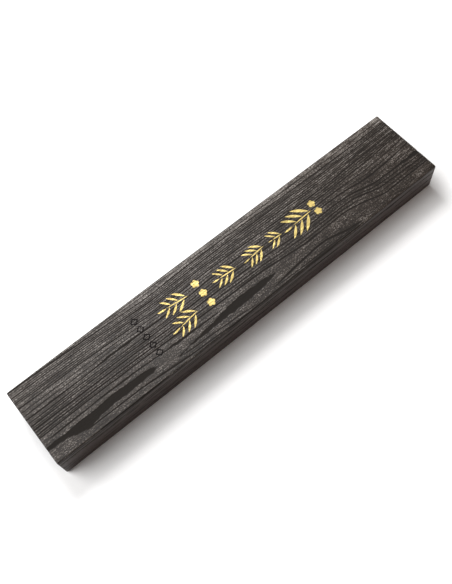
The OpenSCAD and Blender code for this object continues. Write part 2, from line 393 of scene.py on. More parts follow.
    def level_of(self, line: GrainLine) -> Points:
        """The smoothed course of a line along the sheet.

        Args:
            line: The line.

        Returns:
            Its distance from the far edge at each step along the sheet.
        """
        rough = np.interp(self.us, line.stations, line.levels)
        blur_steps = int(self.blur * self.length / self.along_step)
        kernel = np.hanning(2 * blur_steps + 1)
        kernel /= kernel.sum()
        padded = np.pad(rough, blur_steps, mode="edge")
        course = np.convolve(padded, kernel, mode="valid")
        slow_turn, quick_turn = self.wobble_turns
        course += self.wobble * self.wander.line(self.us, slow_turn)
        return course + 0.5 * self.wobble * self.wander.line(self.us, quick_turn)

    def draw_line(self, line: GrainLine) -> None:
        """Presses one line into the map.

        Args:
            line: The line.
        """
        level = self.level_of(line)
        swell = self.width_change * self.wander.line(self.us, self.width_turn)
        half = line.width / self.width * (1.0 + swell)
        fade = self.strength_change * self.wander.line(self.us, self.strength_turn)
        strength = line.strength * (self.strength_level + fade)
        if not line.open_ended:
            start = smooth((self.us - line.stations[0]) / self.taper)
            end = smooth((line.stations[-1] - self.us) / self.taper)
            taper = start * end
            half *= self.taper_width + (1.0 - self.taper_width) * taper
            strength *= taper
        distance = (self.vs[:, None] - level[None, :]) / half[None, :]
        pressed = strength[None, :] * np.exp(-distance * distance)
        np.maximum(self.map, pressed.astype(np.float32), out=self.map)

    def draw_flame(self, flame: Flame) -> None:
        """Presses one flame figure into the map.

        Args:
            flame: The figure.
        """
        inside = (self.us > flame.stations[0]) & (self.us < flame.stations[-1])
        ragged = sum(size * self.wander.line(self.us, step) for size, step in self.flame_rags)
        far = np.interp(self.us, flame.stations, flame.far) + ragged
        near = np.interp(self.us, flame.stations, flame.near) + np.roll(ragged, len(self.us) // 3)
        places = self.vs[:, None]
        depth = np.minimum(places - far[None, :], near[None, :] - places)
        cover = smooth(depth / self.flame_edge + 0.5) * inside[None, :]
        np.maximum(self.map, (self.flame_depth * cover).astype(np.float32), out=self.map)

    def draw_fibres(self) -> None:
        """Presses short fine streaks between the lines."""
        random = self.wander.random
        for _ in range(self.fibres):
            u = random.uniform(-self.fibre_reach, 1.0 + self.fibre_reach)
            v = random.uniform(-self.reach, 1.0 + self.reach)
            half_u = random.uniform(*self.fibre_half_mm) * MM / self.length
            half_v = random.uniform(*self.fibre_width_mm) * MM / self.width
            strength = random.uniform(*self.fibre_strength)
            i0, i1 = np.searchsorted(self.us, (u - half_u, u + half_u))
            j0, j1 = np.searchsorted(self.vs, (v - 3.0 * half_v, v + 3.0 * half_v))
            if i1 - i0 < 2 or j1 - j0 < 1:
                continue
            along = 1.0 - ((self.us[i0:i1] - u) / half_u) ** 2
            across = np.exp(-((self.vs[j0:j1] - v) / half_v) ** 2)
            patch = self.map[j0:j1, i0:i1]
            pressed = strength * across[:, None] * along[None, :]
            np.maximum(patch, pressed.astype(np.float32), out=patch)

    def depth(self, u: Points, v: Points) -> Points:
        """How deep the grain is pressed at these places of the sheet.

        Args:
            u: Shares of the lid's length from its left end.
            v: Shares of the lid's width from its far edge.

        Returns:
            Values from 0 on a ridge to 1 in a groove.
        """
        column = np.clip((u - self.us[0]) / (self.us[1] - self.us[0]), 0.0, len(self.us) - 1.001)
        row = np.clip((v - self.vs[0]) / (self.vs[1] - self.vs[0]), 0.0, len(self.vs) - 1.001)
        i = column.astype(int)
        j = row.astype(int)
        s = column - i
        t = row - j
        near = self.map[j, i] * (1.0 - s) + self.map[j, i + 1] * s
        far = self.map[j + 1, i] * (1.0 - s) + self.map[j + 1, i + 1] * s
        return near * (1.0 - t) + far * t


# --------------------------------------------------------------------------------------------------
# Meshes
# --------------------------------------------------------------------------------------------------


def graded(half: float, coarse: float, fine: float, reach: float, marks: Sequence[float] = ()) -> Points:
    """Stations from -half to half that crowd together at both ends and at marks.

    Args:
        half: Half of the whole distance.
        coarse: Step away from the ends and the marks.
        fine: Step near them.
        reach: How near is near.
        marks: Distances from the middle.

    Returns:
        The stations, mirrored about the middle.
    """
    places = [0.0]
    stops = [half, *marks]
    while places[-1] < half:
        here = places[-1]
        gap = min(abs(here - stop) for stop in stops)
        places.append(here + (fine if gap < reach else min(coarse, fine + 0.5 * (gap - reach))))
    right = np.array(places[1:]) * (half / places[-1])
    return np.concatenate([-right[::-1], [0.0], right])


@dataclass
class TubMesh:
    """A mesh made of a rectangular grid with rings of points hung from its edge.

    Attributes:
        xs: The grid's stations along the box.
        ys: The grid's stations across it.
    """

    xs: Points
    ys: Points
    points: list[Points] = field(default_factory=list)
    faces: list[tuple[int, ...]] = field(default_factory=list)
    count: int = 0

    def __post_init__(self) -> None:
        """Works out the order of the points round the grid's edge."""
        columns = len(self.xs)
        rows = len(self.ys)
        last_i = columns - 1
        last_j = rows - 1
        edge = [(i, 0) for i in range(last_i)]
        edge += [(last_i, j) for j in range(last_j)]
        edge += [(i, last_j) for i in range(last_i, 0, -1)]
        edge += [(0, j) for j in range(last_j, 0, -1)]
        self.edge_i = np.array([i for i, _ in edge])
        self.edge_j = np.array([j for _, j in edge])
        self.edge_x = self.xs[self.edge_i]
        self.edge_y = self.ys[self.edge_j]
        on_long_side = (self.edge_j == 0) | (self.edge_j == last_j)
        self.on_end = ~on_long_side
        self.ring = self.edge_i * rows + self.edge_j

    def grid(self) -> tuple[Points, Points]:
        """The grid's stations as two arrays, one value for each point."""
        return tuple(array.ravel() for array in np.meshgrid(self.xs, self.ys, indexing="ij"))

    def add_grid(self, points: Points) -> None:
        """Lays the grid.

        Args:
            points: One row of three coordinates for each point of the grid.
        """
        rows = len(self.ys)
        self.points.append(points)
        self.count += len(points)
        for i in range(len(self.xs) - 1):
            start = i * rows
            for j in range(rows - 1):
                corner = start + j
                self.faces.append((corner, corner + rows, corner + rows + 1, corner + 1))

    def add_ring(self, points: Points) -> None:
        """Hangs the next ring from the last one.

        Args:
            points: One row of three coordinates for each point round the edge.
        """
        new = np.arange(self.count, self.count + len(points))
        self.points.append(points)
        self.count += len(points)
        ends = np.roll(self.ring, -1)
        new_ends = np.roll(new, -1)
        self.faces += [tuple(face) for face in np.column_stack([self.ring, new, new_ends, ends]).tolist()]
        self.ring = new

    def close_with_strips(self) -> None:
        """Closes the last ring with strips that run across it."""
        last_i = len(self.xs) - 1
        last_j = len(self.ys) - 1
        ring = self.ring.tolist()
        low = ring[: last_i + 1]
        right = ring[last_i : last_i + last_j + 1]
        high = ring[last_i + last_j : 2 * last_i + last_j + 1][::-1]
        left = ring[2 * last_i + last_j :] + ring[:1]
        self.faces.append(tuple(left + low[1:2] + high[1:2])[::-1])
        for i in range(1, last_i - 1):
            self.faces.append((low[i], high[i], high[i + 1], low[i + 1]))
        self.faces.append(tuple(low[-2:-1] + right + high[-2:-1])[::-1])

    def close_with_grid(self, points: Points) -> None:
        """Closes the last ring with a second grid, whose edge is the ring.

        Args:
            points: One row for each point of the grid; those on its edge are left out.
        """
        columns = len(self.xs)
        rows = len(self.ys)
        index = np.full((columns, rows), -1)
        index[self.edge_i, self.edge_j] = self.ring
        inner = index < 0
        index[inner] = np.arange(self.count, self.count + inner.sum())
        self.points.append(points[inner.ravel()])
        self.count += int(inner.sum())
        quads = np.stack([index[:-1, :-1], index[:-1, 1:], index[1:, 1:], index[1:, :-1]], axis=-1)
        self.faces += [tuple(face) for face in quads.reshape(-1, 4).tolist()]

    def build(self, name: str, outward: bool = True) -> bpy.types.Object:
        """Makes the Blender object.

        Args:
            name: Its name.
            outward: Whether to turn all faces outward, as a closed mesh wants.

        Returns:
            The object, linked to the scene and shaded smooth.
        """
        return new_object(name, np.concatenate(self.points), self.faces, outward)


def new_object(
    name: str, points: Points, faces: Sequence[tuple[int, ...]], outward: bool
) -> bpy.types.Object:
    """Makes an object from points and faces.

    Args:
        name: Its name.
        points: One row of three coordinates for each point.
        faces: Indices of each face's points.
        outward: Whether to turn all faces outward.

    Returns:
        The object, linked to the scene and shaded smooth.
    """
    mesh = bpy.data.meshes.new(name)
    mesh.from_pydata(points.tolist(), [], list(faces))
    if outward:
        soup = bmesh.new()
        soup.from_mesh(mesh)
        bmesh.ops.recalc_face_normals(soup, faces=soup.faces)
        soup.to_mesh(mesh)
        soup.free()
    mesh.shade_smooth()
    thing = bpy.data.objects.new(name, mesh)
    bpy.context.scene.collection.objects.link(thing)
    return thing


def store_value(thing: bpy.types.Object, name: str, values: Points) -> None:
    """Keeps one number for each point of a mesh.

    Args:
        thing: The object.
        name: The attribute's name.
        values: The numbers.
    """
    attribute = thing.data.attributes.new(name, "FLOAT", "POINT")
    attribute.data.foreach_set("value", values.astype(np.float32).ravel())


def store_place(thing: bpy.types.Object, name: str, values: Points) -> None:
    """Keeps one place for each point of a mesh.

    Args:
        thing: The object.
        name: The attribute's name.
        values: One row of three numbers for each point.
    """
    attribute = thing.data.attributes.new(name, "FLOAT_VECTOR", "POINT")
    attribute.data.foreach_set("vector", values.astype(np.float32).ravel())


def dress(thing: bpy.types.Object, material: bpy.types.Material) -> None:
    """Gives an object one material in every slot.

    Args:
        thing: The object.
        material: The material.
    """
    if not thing.material_slots:
        thing.data.materials.append(material)
    for place in thing.material_slots:
        place.material = material


def stand_in(thing: bpy.types.Object, body: str, slot: str, *nodes: str) -> None:
    """Puts a piece in the place of CAD nodes.

    Args:
        thing: The piece.
        body: The body that it rides on.
        slot: Not used.
        nodes: The nodes that it stands for.
    """
    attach(thing, body)
    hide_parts(*nodes)
    LOG.info("%s stands for %s on %s", thing.name, ", ".join(nodes), body)


# --------------------------------------------------------------------------------------------------
# Finishes
# --------------------------------------------------------------------------------------------------


class MaterialBench:
    """Builds one node material round a Principled shader."""

    def __init__(self, name: str) -> None:
        """Starts an empty material.

        Args:
            name: The material's name.
        """
        self.material = bpy.data.materials.new(name)
        self.material.use_nodes = True
        self.tree = self.material.node_tree
        self.shader = self.tree.nodes["Principled BSDF"]

    def set(self, **values: float | Color) -> None:
        """Sets uniform values on the shader; an underscore in a name stands for a space."""
        for name, value in values.items():
            socket = self.shader.inputs[name.replace("_", " ")]
            socket.default_value = (*value, 1.0) if isinstance(value, tuple) else value

    def node(self, kind: str, values: dict[str, object] | None = None, **settings: object) -> bpy.types.Node:
        """Adds a node.

        Args:
            kind: Its type.
            values: What goes into its inputs, as sockets or plain values.
            settings: Its own settings.

        Returns:
            The node.
        """
        node = self.tree.nodes.new(kind)
        for name, value in settings.items():
            setattr(node, name, value)
        for name, value in (values or {}).items():
            self.feed(node.inputs[name], value)
        return node

    def feed(self, target: Socket, value: object) -> None:
        """Links a socket to an input, or sets the input to a plain value."""
        if isinstance(value, bpy.types.NodeSocket):
            self.tree.links.new(value, target)
        else:
            target.default_value = value

    def attribute(self, name: str, output: str = "Vector") -> Socket:
        """A mesh attribute's socket."""
        return self.node("ShaderNodeAttribute", attribute_name=name).outputs[output]

    def place(self) -> Socket:
        """The piece's own coordinates, in metres."""
        return self.node("ShaderNodeTexCoord").outputs["Object"]

    def across(self, place: Socket) -> Socket:
        """The second of a place's three numbers."""
        return self.node("ShaderNodeSeparateXYZ", {"Vector": place}).outputs[1]

    def stretched(self, vector: Socket, scale: Color) -> Socket:
        """Coordinates stretched by three factors."""
        return self.node("ShaderNodeMapping", {"Vector": vector, "Scale": scale}).outputs[0]

    def noise(self, vector: Socket, scale: float, detail: float = 2.0, roughness: float = 0.5) -> Socket:
        """Smooth noise between 0 and 1."""
        values = {"Vector": vector, "Scale": scale, "Detail": detail, "Roughness": roughness}
        return self.node("ShaderNodeTexNoise", values).outputs[0]

    def span(self, value: Socket, source: tuple[float, float], result: tuple[float, float]) -> Socket:
        """A value carried from one range to another, and held inside it."""
        values = {
            "Value": value,
            "From Min": source[0],
            "From Max": source[1],
            "To Min": result[0],
            "To Max": result[1],
        }
        return self.node("ShaderNodeMapRange", values).outputs[0]

    def sum(self, first: Socket | float, second: Socket | float, operation: str = "ADD") -> Socket:
        """Two values put through one sum."""
        node = self.node("ShaderNodeMath", operation=operation)
        self.feed(node.inputs[0], first)
        self.feed(node.inputs[1], second)
        return node.outputs[0]

    def blend(self, amount: Socket | float, low: Socket | Color, high: Socket | Color) -> Socket:
        """Two colours mixed by an amount."""
        node = self.node("ShaderNodeMix", data_type="RGBA")
        self.feed(node.inputs[0], amount)
        for target, value in ((node.inputs[6], low), (node.inputs[7], high)):
            self.feed(target, (*value, 1.0) if isinstance(value, tuple) else value)
        return node.outputs[2]

    def ramp(self, value: Socket, stops: Sequence[tuple[float, Color]]) -> Socket:
        """A value turned into colours through stops."""
        node = self.node("ShaderNodeValToRGB", {"Fac": value})
        elements = node.color_ramp.elements
        while len(elements) < len(stops):
            elements.new(0.5)
        for element, (position, color) in zip(elements, stops):
            element.position = position
            element.color = (*color, 1.0)
        return node.outputs[0]

    def bump(self, height: Socket, distance: float, under: Socket | None = None) -> Socket:
        """A bump of this height in metres, over another one or over the plain surface."""
        values = {"Height": height, "Distance": distance, "Strength": 1.0}
        if under is not None:
            values["Normal"] = under
        return self.node("ShaderNodeBump", values).outputs[0]

    def finish(self, color: Socket, roughness: Socket, normal: Socket | None = None) -> bpy.types.Material:
        """Joins the last sockets to the shader and gives the material."""
        self.tree.links.new(color, self.shader.inputs["Base Color"])
        self.tree.links.new(roughness, self.shader.inputs["Roughness"])
        if normal is not None:
            self.tree.links.new(normal, self.shader.inputs["Normal"])
        return self.material


class Finish(ABC):
    """A surface that knows how to make its material."""

    @abstractmethod
    def material(self) -> bpy.types.Material:
        """Makes the material."""


@dataclass(frozen=True)
class GrainPaper(Finish):
    """Black paper pressed with wood grain: pale-specked ridges and smooth dark grooves.

    Attributes:
        ridge_dark: Darkest colour of the ridges.
        ridge_mid: Their usual colour.
        ridge_pale: Colour of their rubbed specks.
        wall: Colour that the ridges turn towards on the long walls, as painted warm light.
        groove: Colour of the grooves.
        groove_warm: Colour of the streaks in them.
        stops: Tones at which the three ridge colours stand.
        specular: Specular level.
        streak_scale: How fine the streaks are along, across and through the sheet.
        speck_scale: The same for the specks.
        cloud_scale: The same for the broad patches.
        speck_share: Share of the specks in the tone; the streaks have the rest.
        cloud_change: Change of tone that the patches bring.
        painted_light_bands: Painted light and shade across the sheet: a range of places, and the change at
            its two ends.
        warm_light_walls: Shares of the painted warm light on the long walls: a range of places past a long
            edge, and the share at its ends.
        speck_rag: How far the specks roughen a groove's edge.
        streak_rag: How far the streaks roughen it.
        edge: Depths of the grain between which ridge turns into groove.
        roughness: Roughness of the ridges, and of the grooves.
        speck_roughness: Change of roughness that the specks bring.
        grit_left: Share of the specks' bump on the ridges, and in the grooves.
        speck_bump: Height of the specks.
        streak_bump: Height of the streaks.
    """

    ridge_dark: Color = (0.008, 0.0055, 0.004)
    ridge_mid: Color = (0.040, 0.030, 0.0235)
    ridge_pale: Color = (0.34, 0.31, 0.285)
    wall: Color = (0.024, 0.010, 0.005)
    # Painted warm light: the brown that the ridges turn towards on the long walls.
    groove: Color = (0.004, 0.003, 0.002)
    groove_warm: Color = (0.012, 0.0085, 0.006)
    stops: tuple[float, float, float] = (0.415, 0.51, 0.61)
    specular: float = 0.30
    streak_scale: Color = (120.0, 1300.0, 1.0)
    speck_scale: Color = (880.0, 1900.0, 1.0)
    cloud_scale: Color = (40.0, 130.0, 1.0)
    speck_share: float = 0.66
    cloud_change: Range = (-0.022, 0.022)
    # Painted light and shade across the sheet: darker from the far edge to the near edge as a painted sheen,
    # a painted highlight along the far edge, and painted shade along both folds.
    painted_light_bands: tuple[tuple[Range, Range], ...] = (
        ((0.0, 0.060), (0.0, -0.042)),
        ((0.0, 0.014), (0.022, -0.008)),
        ((0.0545, 0.0570), (0.0, -0.050)),
        ((-0.0030, 0.0), (-0.045, 0.0)),
    )
    # Where the long walls take the painted warm light.
    warm_light_walls: tuple[tuple[Range, Range], ...] = (
        ((-0.0022, -0.0002), (0.72, 0.0)),
        ((0.0550, 0.0570), (0.0, 0.72)),
    )
    speck_rag: Range = (-0.13, 0.13)
    streak_rag: Range = (-0.10, 0.10)
    edge: Range = (0.08, 0.34)
    roughness: Range = (0.44, 0.90)
    speck_roughness: Range = (-0.06, 0.06)
    grit_left: Range = (1.0, 0.15)
    speck_bump: float = 0.03 * MM
    streak_bump: float = 0.04 * MM

    def tone(self, bench: MaterialBench, speck: Socket, streak: Socket, place: Socket) -> Socket:
        """How pale the ridges are, with the painted light and shade across the sheet.

        Args:
            bench: The bench that the material is built on.
            speck: The specks.
            streak: The streaks.
            place: Places on the sheet.

        Returns:
            The tone, before it becomes a colour.
        """
        cloud = bench.noise(bench.stretched(place, self.cloud_scale), 1.0, 2.0)
        specks = bench.sum(speck, self.speck_share, "MULTIPLY")
        streaks = bench.sum(streak, 1.0 - self.speck_share, "MULTIPLY")
        tone = bench.sum(bench.sum(specks, streaks), bench.span(cloud, NOISE_RANGE, self.cloud_change))
        across = bench.across(place)
        # Adds the painted light and shade across the sheet: sheen towards the far edge, shade at the folds.
        for places, change in self.painted_light_bands:
            tone = bench.sum(tone, bench.span(across, places, change))
        return tone

    def material(self) -> bpy.types.Material:
        """Makes the paper's material.

        Returns:
            The material.
        """
        bench = MaterialBench("grain_paper")
        bench.set(Specular_IOR_Level=self.specular)
        place = bench.attribute(PLACE_ATTRIBUTE)
        grain = bench.attribute(GRAIN_ATTRIBUTE, "Fac")
        streak = bench.noise(bench.stretched(place, self.streak_scale), 1.0, 3.0, 0.6)
        speck = bench.noise(bench.stretched(place, self.speck_scale), 1.0, 3.0, 0.7)
        tone = self.tone(bench, speck, streak, place)
        colors = (self.ridge_dark, self.ridge_mid, self.ridge_pale)
        ridge = bench.ramp(tone, list(zip(self.stops, colors)))
        across = bench.across(place)
        # Painted warm light turns the ridges brown on both long walls.
        far_wall_warm_light, near_wall_warm_light = (bench.span(across, places, shares) for places, shares in self.warm_light_walls)
        ridge = bench.blend(bench.sum(far_wall_warm_light, near_wall_warm_light), ridge, self.wall)
        hollow = bench.blend(streak, self.groove, self.groove_warm)
        speck_rag = bench.span(speck, NOISE_RANGE, self.speck_rag)
        streak_rag = bench.span(streak, NOISE_RANGE, self.streak_rag)
        ragged = bench.sum(grain, bench.sum(speck_rag, streak_rag))
        in_groove = bench.span(ragged, self.edge, UNIT_RANGE)
        color = bench.blend(in_groove, ridge, hollow)
        grit_roughness = bench.span(speck, NOISE_RANGE, self.speck_roughness)
        rough = bench.sum(bench.span(in_groove, UNIT_RANGE, self.roughness), grit_roughness)
        grit = bench.sum(speck, bench.span(in_groove, UNIT_RANGE, self.grit_left), "MULTIPLY")
        normal = bench.bump(grit, self.speck_bump, bench.bump(streak, self.streak_bump))
        return bench.finish(color, rough, normal)


@dataclass(frozen=True)
class StampedFoil(Finish):
    """Metal foil that is stamped on the pressed paper, with the paper's grit showing through.

    Attributes:
        name: The material's name.
        bright: Colour where the foil is whole.
        dull: Colour where it is rubbed.
        metallic: How much of a metal it is.
        roughness: Range of its roughness.
        specular: Specular level.
        grit_scale: How fine its grit is.
        patch_scale: How fine its rubbed patches are along, across and up.
        patch_range: Range of the patch noise over which dull turns bright.
        bump_height: Height of the grit and of the patches.
    """

    name: str
    bright: Color
    dull: Color
    metallic: float
    roughness: Range
    specular: float = 0.5
    grit_scale: float = 2600.0
    patch_scale: Color = (260.0, 700.0, 1.0)
    patch_range: Range = (0.35, 0.65)
    bump_height: float = 0.03 * MM

    def material(self) -> bpy.types.Material:
        """Makes the foil's material.

        Returns:
            The material.
        """
        bench = MaterialBench(self.name)
        bench.set(Metallic=self.metallic, Specular_IOR_Level=self.specular)
        place = bench.place()
        grit = bench.noise(place, self.grit_scale, 2.0, 0.6)
        patch = bench.noise(bench.stretched(place, self.patch_scale), 1.0, 3.0)
        color = bench.blend(bench.span(patch, self.patch_range, UNIT_RANGE), self.dull, self.bright)
        rough = bench.span(grit, NOISE_RANGE, self.roughness)
        normal = bench.bump(grit, self.bump_height, bench.bump(patch, self.bump_height))
        return bench.finish(color, rough, normal)


@dataclass(frozen=True)
class FibreBoard(Finish):
    """Board or paper with fibres and flecks in it.

    Attributes:
        name: The material's name.
        base: Its colour.
        fleck: Colour of its flecks.
        fleck_size: Size of a fleck.
        fleck_share: How much of the surface they take.
        bump_height: Height of its fibres.
        specular: Specular level.
        shade: Share of the base colour that is left in the darker patches.
        fleck_stretch: How the flecks are squeezed along, across and up.
        fleck_edge: Range of the fleck noise over which a fleck fades in.
        fleck_most: How strong a fleck gets.
        roughness: Range of its roughness.
    """

    name: str
    base: Color
    fleck: Color
    fleck_size: float
    fleck_share: float
    bump_height: float = 0.03 * MM
    specular: float = 0.3
    shade: float = 0.82
    fleck_stretch: Color = (1.0, 1.7, 1.3)
    fleck_edge: float = 0.05
    fleck_most: float = 0.75
    roughness: Range = (0.78, 0.92)

    def material(self) -> bpy.types.Material:
        """Makes the board's material.

        Returns:
            The material.
        """
        bench = MaterialBench(self.name)
        bench.set(Specular_IOR_Level=self.specular)
        place = bench.place()
        pulp = bench.noise(place, 900.0, 4.0, 0.65)
        cloud = bench.noise(place, 70.0, 2.0)
        fleck = bench.noise(bench.stretched(place, self.fleck_stretch), 1.0 / self.fleck_size, 2.0, 0.7)
        darker = tuple(self.shade * channel for channel in self.base)
        ground = bench.blend(bench.span(cloud, NOISE_RANGE, UNIT_RANGE), darker, self.base)
        start = 1.0 - self.fleck_share
        amount = bench.span(fleck, (start, start + self.fleck_edge), (0.0, self.fleck_most))
        color = bench.blend(amount, ground, self.fleck)
        rough = bench.span(pulp, NOISE_RANGE, self.roughness)
        return bench.finish(color, rough, bench.bump(pulp, self.bump_height))


@dataclass(frozen=True)
class SatinCloth(Finish):
    """Fine woven cloth with a soft shine along its threads.

    Attributes:
        thread: Distance from one thread to the next.
        shade: Colour in the hollows of the weave.
        light: Colour on its threads.
        sheen: Strength of the sheen.
        sheen_roughness: Roughness of the sheen.
        specular: Specular level.
        waver: How far the threads wander.
        slub_scale: How fine the thick places of the threads are along, across and up.
        cloud_scale: The same for the broad patches.
        cloud_change: Change of tone that the patches bring.
        tones: Tones between which shade turns to light.
        roughness: Roughness between the threads, and on them.
        weave_bump: Height of the weave.
        slub_bump: Height of the thick places.
    """

    thread: float = 0.28 * MM
    shade: Color = (0.30, 0.215, 0.105)
    light: Color = (0.60, 0.465, 0.27)
    sheen: float = 0.35
    sheen_roughness: float = 0.4
    specular: float = 0.45
    waver: float = 0.6
    slub_scale: Color = (90.0, 1900.0, 1.0)
    cloud_scale: Color = (60.0, 60.0, 1.0)
    cloud_change: Range = (0.0, 0.15)
    tones: Range = (0.1, 0.8)
    roughness: Range = (0.55, 0.38)
    weave_bump: float = 0.04 * MM
    slub_bump: float = 0.03 * MM

    def threads(self, bench: MaterialBench, place: Socket, way: str) -> Socket:
        """The threads that lie one way.

        Args:
            bench: The bench that the material is built on.
            place: Places on the cloth.
            way: X or Y, the direction in which one thread follows the next.

        Returns:
            Values from 0 between two threads to 1 on one.
        """
        # At scale 1 the wave texture repeats after a twentieth of 2 pi.
        scale = 2.0 * math.pi / 20.0 / self.thread
        values = {"Vector": place, "Scale": scale, "Distortion": self.waver}
        return bench.node("ShaderNodeTexWave", values, bands_direction=way).outputs[1]

    def material(self) -> bpy.types.Material:
        """Makes the cloth's material.

        Returns:
            The material.
        """
        bench = MaterialBench("cradle_cloth")
        bench.set(Sheen_Weight=self.sheen, Sheen_Roughness=self.sheen_roughness)
        bench.set(Specular_IOR_Level=self.specular)
        place = bench.attribute(PLACE_ATTRIBUTE)
        warp = self.threads(bench, place, "X")
        weft = self.threads(bench, place, "Y")
        weave = bench.sum(warp, weft, "MULTIPLY")
        slub = bench.noise(bench.stretched(place, self.slub_scale), 1.0, 3.0)
        cloud = bench.noise(bench.stretched(place, self.cloud_scale), 1.0, 2.0)
        tone = bench.sum(bench.sum(weave, 0.5, "MULTIPLY"), bench.sum(slub, 0.5, "MULTIPLY"))
        tone = bench.sum(tone, bench.span(cloud, NOISE_RANGE, self.cloud_change))
        color = bench.blend(bench.span(tone, self.tones, UNIT_RANGE), self.shade, self.light)
        rough = bench.span(weave, UNIT_RANGE, self.roughness)
        normal = bench.bump(weave, self.weave_bump, bench.bump(slub, self.slub_bump))
        return bench.finish(color, rough, normal)


@dataclass(frozen=True)
class PressedInk(Finish):
    """Soot and glue pressed in a wooden mould: deep black with a low sheen.

    Attributes:
        deep: Its colour.
        worn: Its colour where it is dusty.
        specular: Specular level.
        grain_scale: How fine the mould's grain is along, across and up.
        dust_range: Range of the dust noise over which deep turns to worn.
        roughness: Range of its roughness.
        dust_roughness: Change of roughness that the dust brings.
        dust_bump: Height of the dust.
        grain_bump: Height of the mould's grain.
    """

    deep: Color = (0.006, 0.006, 0.008)
    worn: Color = (0.020, 0.019, 0.022)
    specular: float = 0.32
    grain_scale: Color = (220.0, 900.0, 900.0)
    dust_range: Range = (0.35, 0.75)
    roughness: Range = (0.34, 0.5)
    dust_roughness: Range = (-0.04, 0.06)
    dust_bump: float = 0.02 * MM
    grain_bump: float = 0.05 * MM

    def material(self) -> bpy.types.Material:
        """Makes the ink's material.

        Returns:
            The material.
        """
        bench = MaterialBench("pressed_ink")
        bench.set(Specular_IOR_Level=self.specular)
        place = bench.place()
        grain = bench.noise(bench.stretched(place, self.grain_scale), 1.0, 3.0)
        dust = bench.noise(place, 1800.0, 2.0, 0.7)
        cloud = bench.noise(place, 90.0, 3.0)
        color = bench.blend(bench.span(dust, self.dust_range, UNIT_RANGE), self.deep, self.worn)
        dust_rough = bench.span(dust, NOISE_RANGE, self.dust_roughness)
        rough = bench.sum(bench.span(cloud, NOISE_RANGE, self.roughness), dust_rough)
        normal = bench.bump(dust, self.dust_bump, bench.bump(grain, self.grain_bump))
        return bench.finish(color, rough, normal)


@dataclass(frozen=True)
class StudioFloor(Finish):
    """Smooth pale floor.

    Attributes:
        shade: The darker of its two colours.
        light: The paler one.
        specular: Specular level.
        roughness: Range of its roughness.
    """

    shade: Color = (0.94, 0.94, 0.94)
    light: Color = (0.97, 0.97, 0.97)
    specular: float = 0.1
    roughness: Range = (0.85, 0.95)

    def material(self) -> bpy.types.Material:
        """Makes the floor's material.

        Returns:
            The material.
        """
        bench = MaterialBench("studio_floor")
        bench.set(Specular_IOR_Level=self.specular)
        cloud = bench.noise(bench.place(), 3.0, 2.0)
        color = bench.blend(cloud, self.shade, self.light)
        return bench.finish(color, bench.span(cloud, UNIT_RANGE, self.roughness))


class Finishes:
    """All the materials of the object, each made once."""

    def __init__(self) -> None:
        """Makes them."""
        self.grain_paper = GrainPaper().material()
        self.gold_foil = StampedFoil(
            name="gold_foil",
            bright=(0.69, 0.54, 0.19),
            dull=(0.52, 0.39, 0.125),
            metallic=0.5,
            roughness=(0.30, 0.50),
        ).material()
        self.black_foil = StampedFoil(
            name="black_foil",
            bright=(0.004, 0.003, 0.003),
            dull=(0.002, 0.002, 0.002),
            metallic=0.0,
            roughness=(0.6, 0.75),
            specular=0.08,
        ).material()
        self.gilding = StampedFoil(
            name="gilding",
            bright=(0.90, 0.63, 0.24),
            dull=(0.62, 0.40, 0.14),
            metallic=0.95,
            roughness=(0.34, 0.56),
        ).material()
        self.greyboard = FibreBoard(
            name="greyboard",
            base=(0.40, 0.38, 0.34),
            fleck=(0.12, 0.11, 0.10),
            fleck_size=0.5 * MM,
            fleck_share=0.36,
        ).material()
        self.kraft_tape = FibreBoard(
            name="kraft_tape",
            base=(0.42, 0.27, 0.14),
            fleck=(0.20, 0.12, 0.06),
            fleck_size=0.7 * MM,
            fleck_share=0.38,
        ).material()
        self.lining_paper = FibreBoard(
            name="lining_paper",
            base=(0.62, 0.56, 0.44),
            fleck=(0.42, 0.34, 0.22),
            fleck_size=0.9 * MM,
            fleck_share=0.32,
        ).material()
        self.white_card = FibreBoard(
            name="white_card",
            base=(0.70, 0.68, 0.62),
            fleck=(0.50, 0.47, 0.42),
            fleck_size=0.6 * MM,
            fleck_share=0.30,
        ).material()
        self.foam = FibreBoard(
            name="foam",
            base=(0.78, 0.74, 0.62),
            fleck=(0.45, 0.41, 0.32),
            fleck_size=0.5 * MM,
            fleck_share=0.42,
            bump_height=0.12 * MM,
        ).material()
        self.cradle_cloth = SatinCloth().material()
        self.pressed_ink = PressedInk().material()
        self.floor = StudioFloor().material()


# --------------------------------------------------------------------------------------------------
# The wrapped halves of the box
# --------------------------------------------------------------------------------------------------


@dataclass
class PaperSkin:
    """A wrap while it is built.

    Attributes:
        tub: Its mesh.
        grains: Depth of the grain at its points.
        places: Their places on the flat sheet.
    """

    tub: TubMesh
    grains: list[Points] = field(default_factory=list)
    places: list[Points] = field(default_factory=list)

    def note(self, grain: Points, place: Points) -> None:
        """Keeps the grain and the places of the newest points."""
        self.grains.append(grain)
        self.places.append(place)


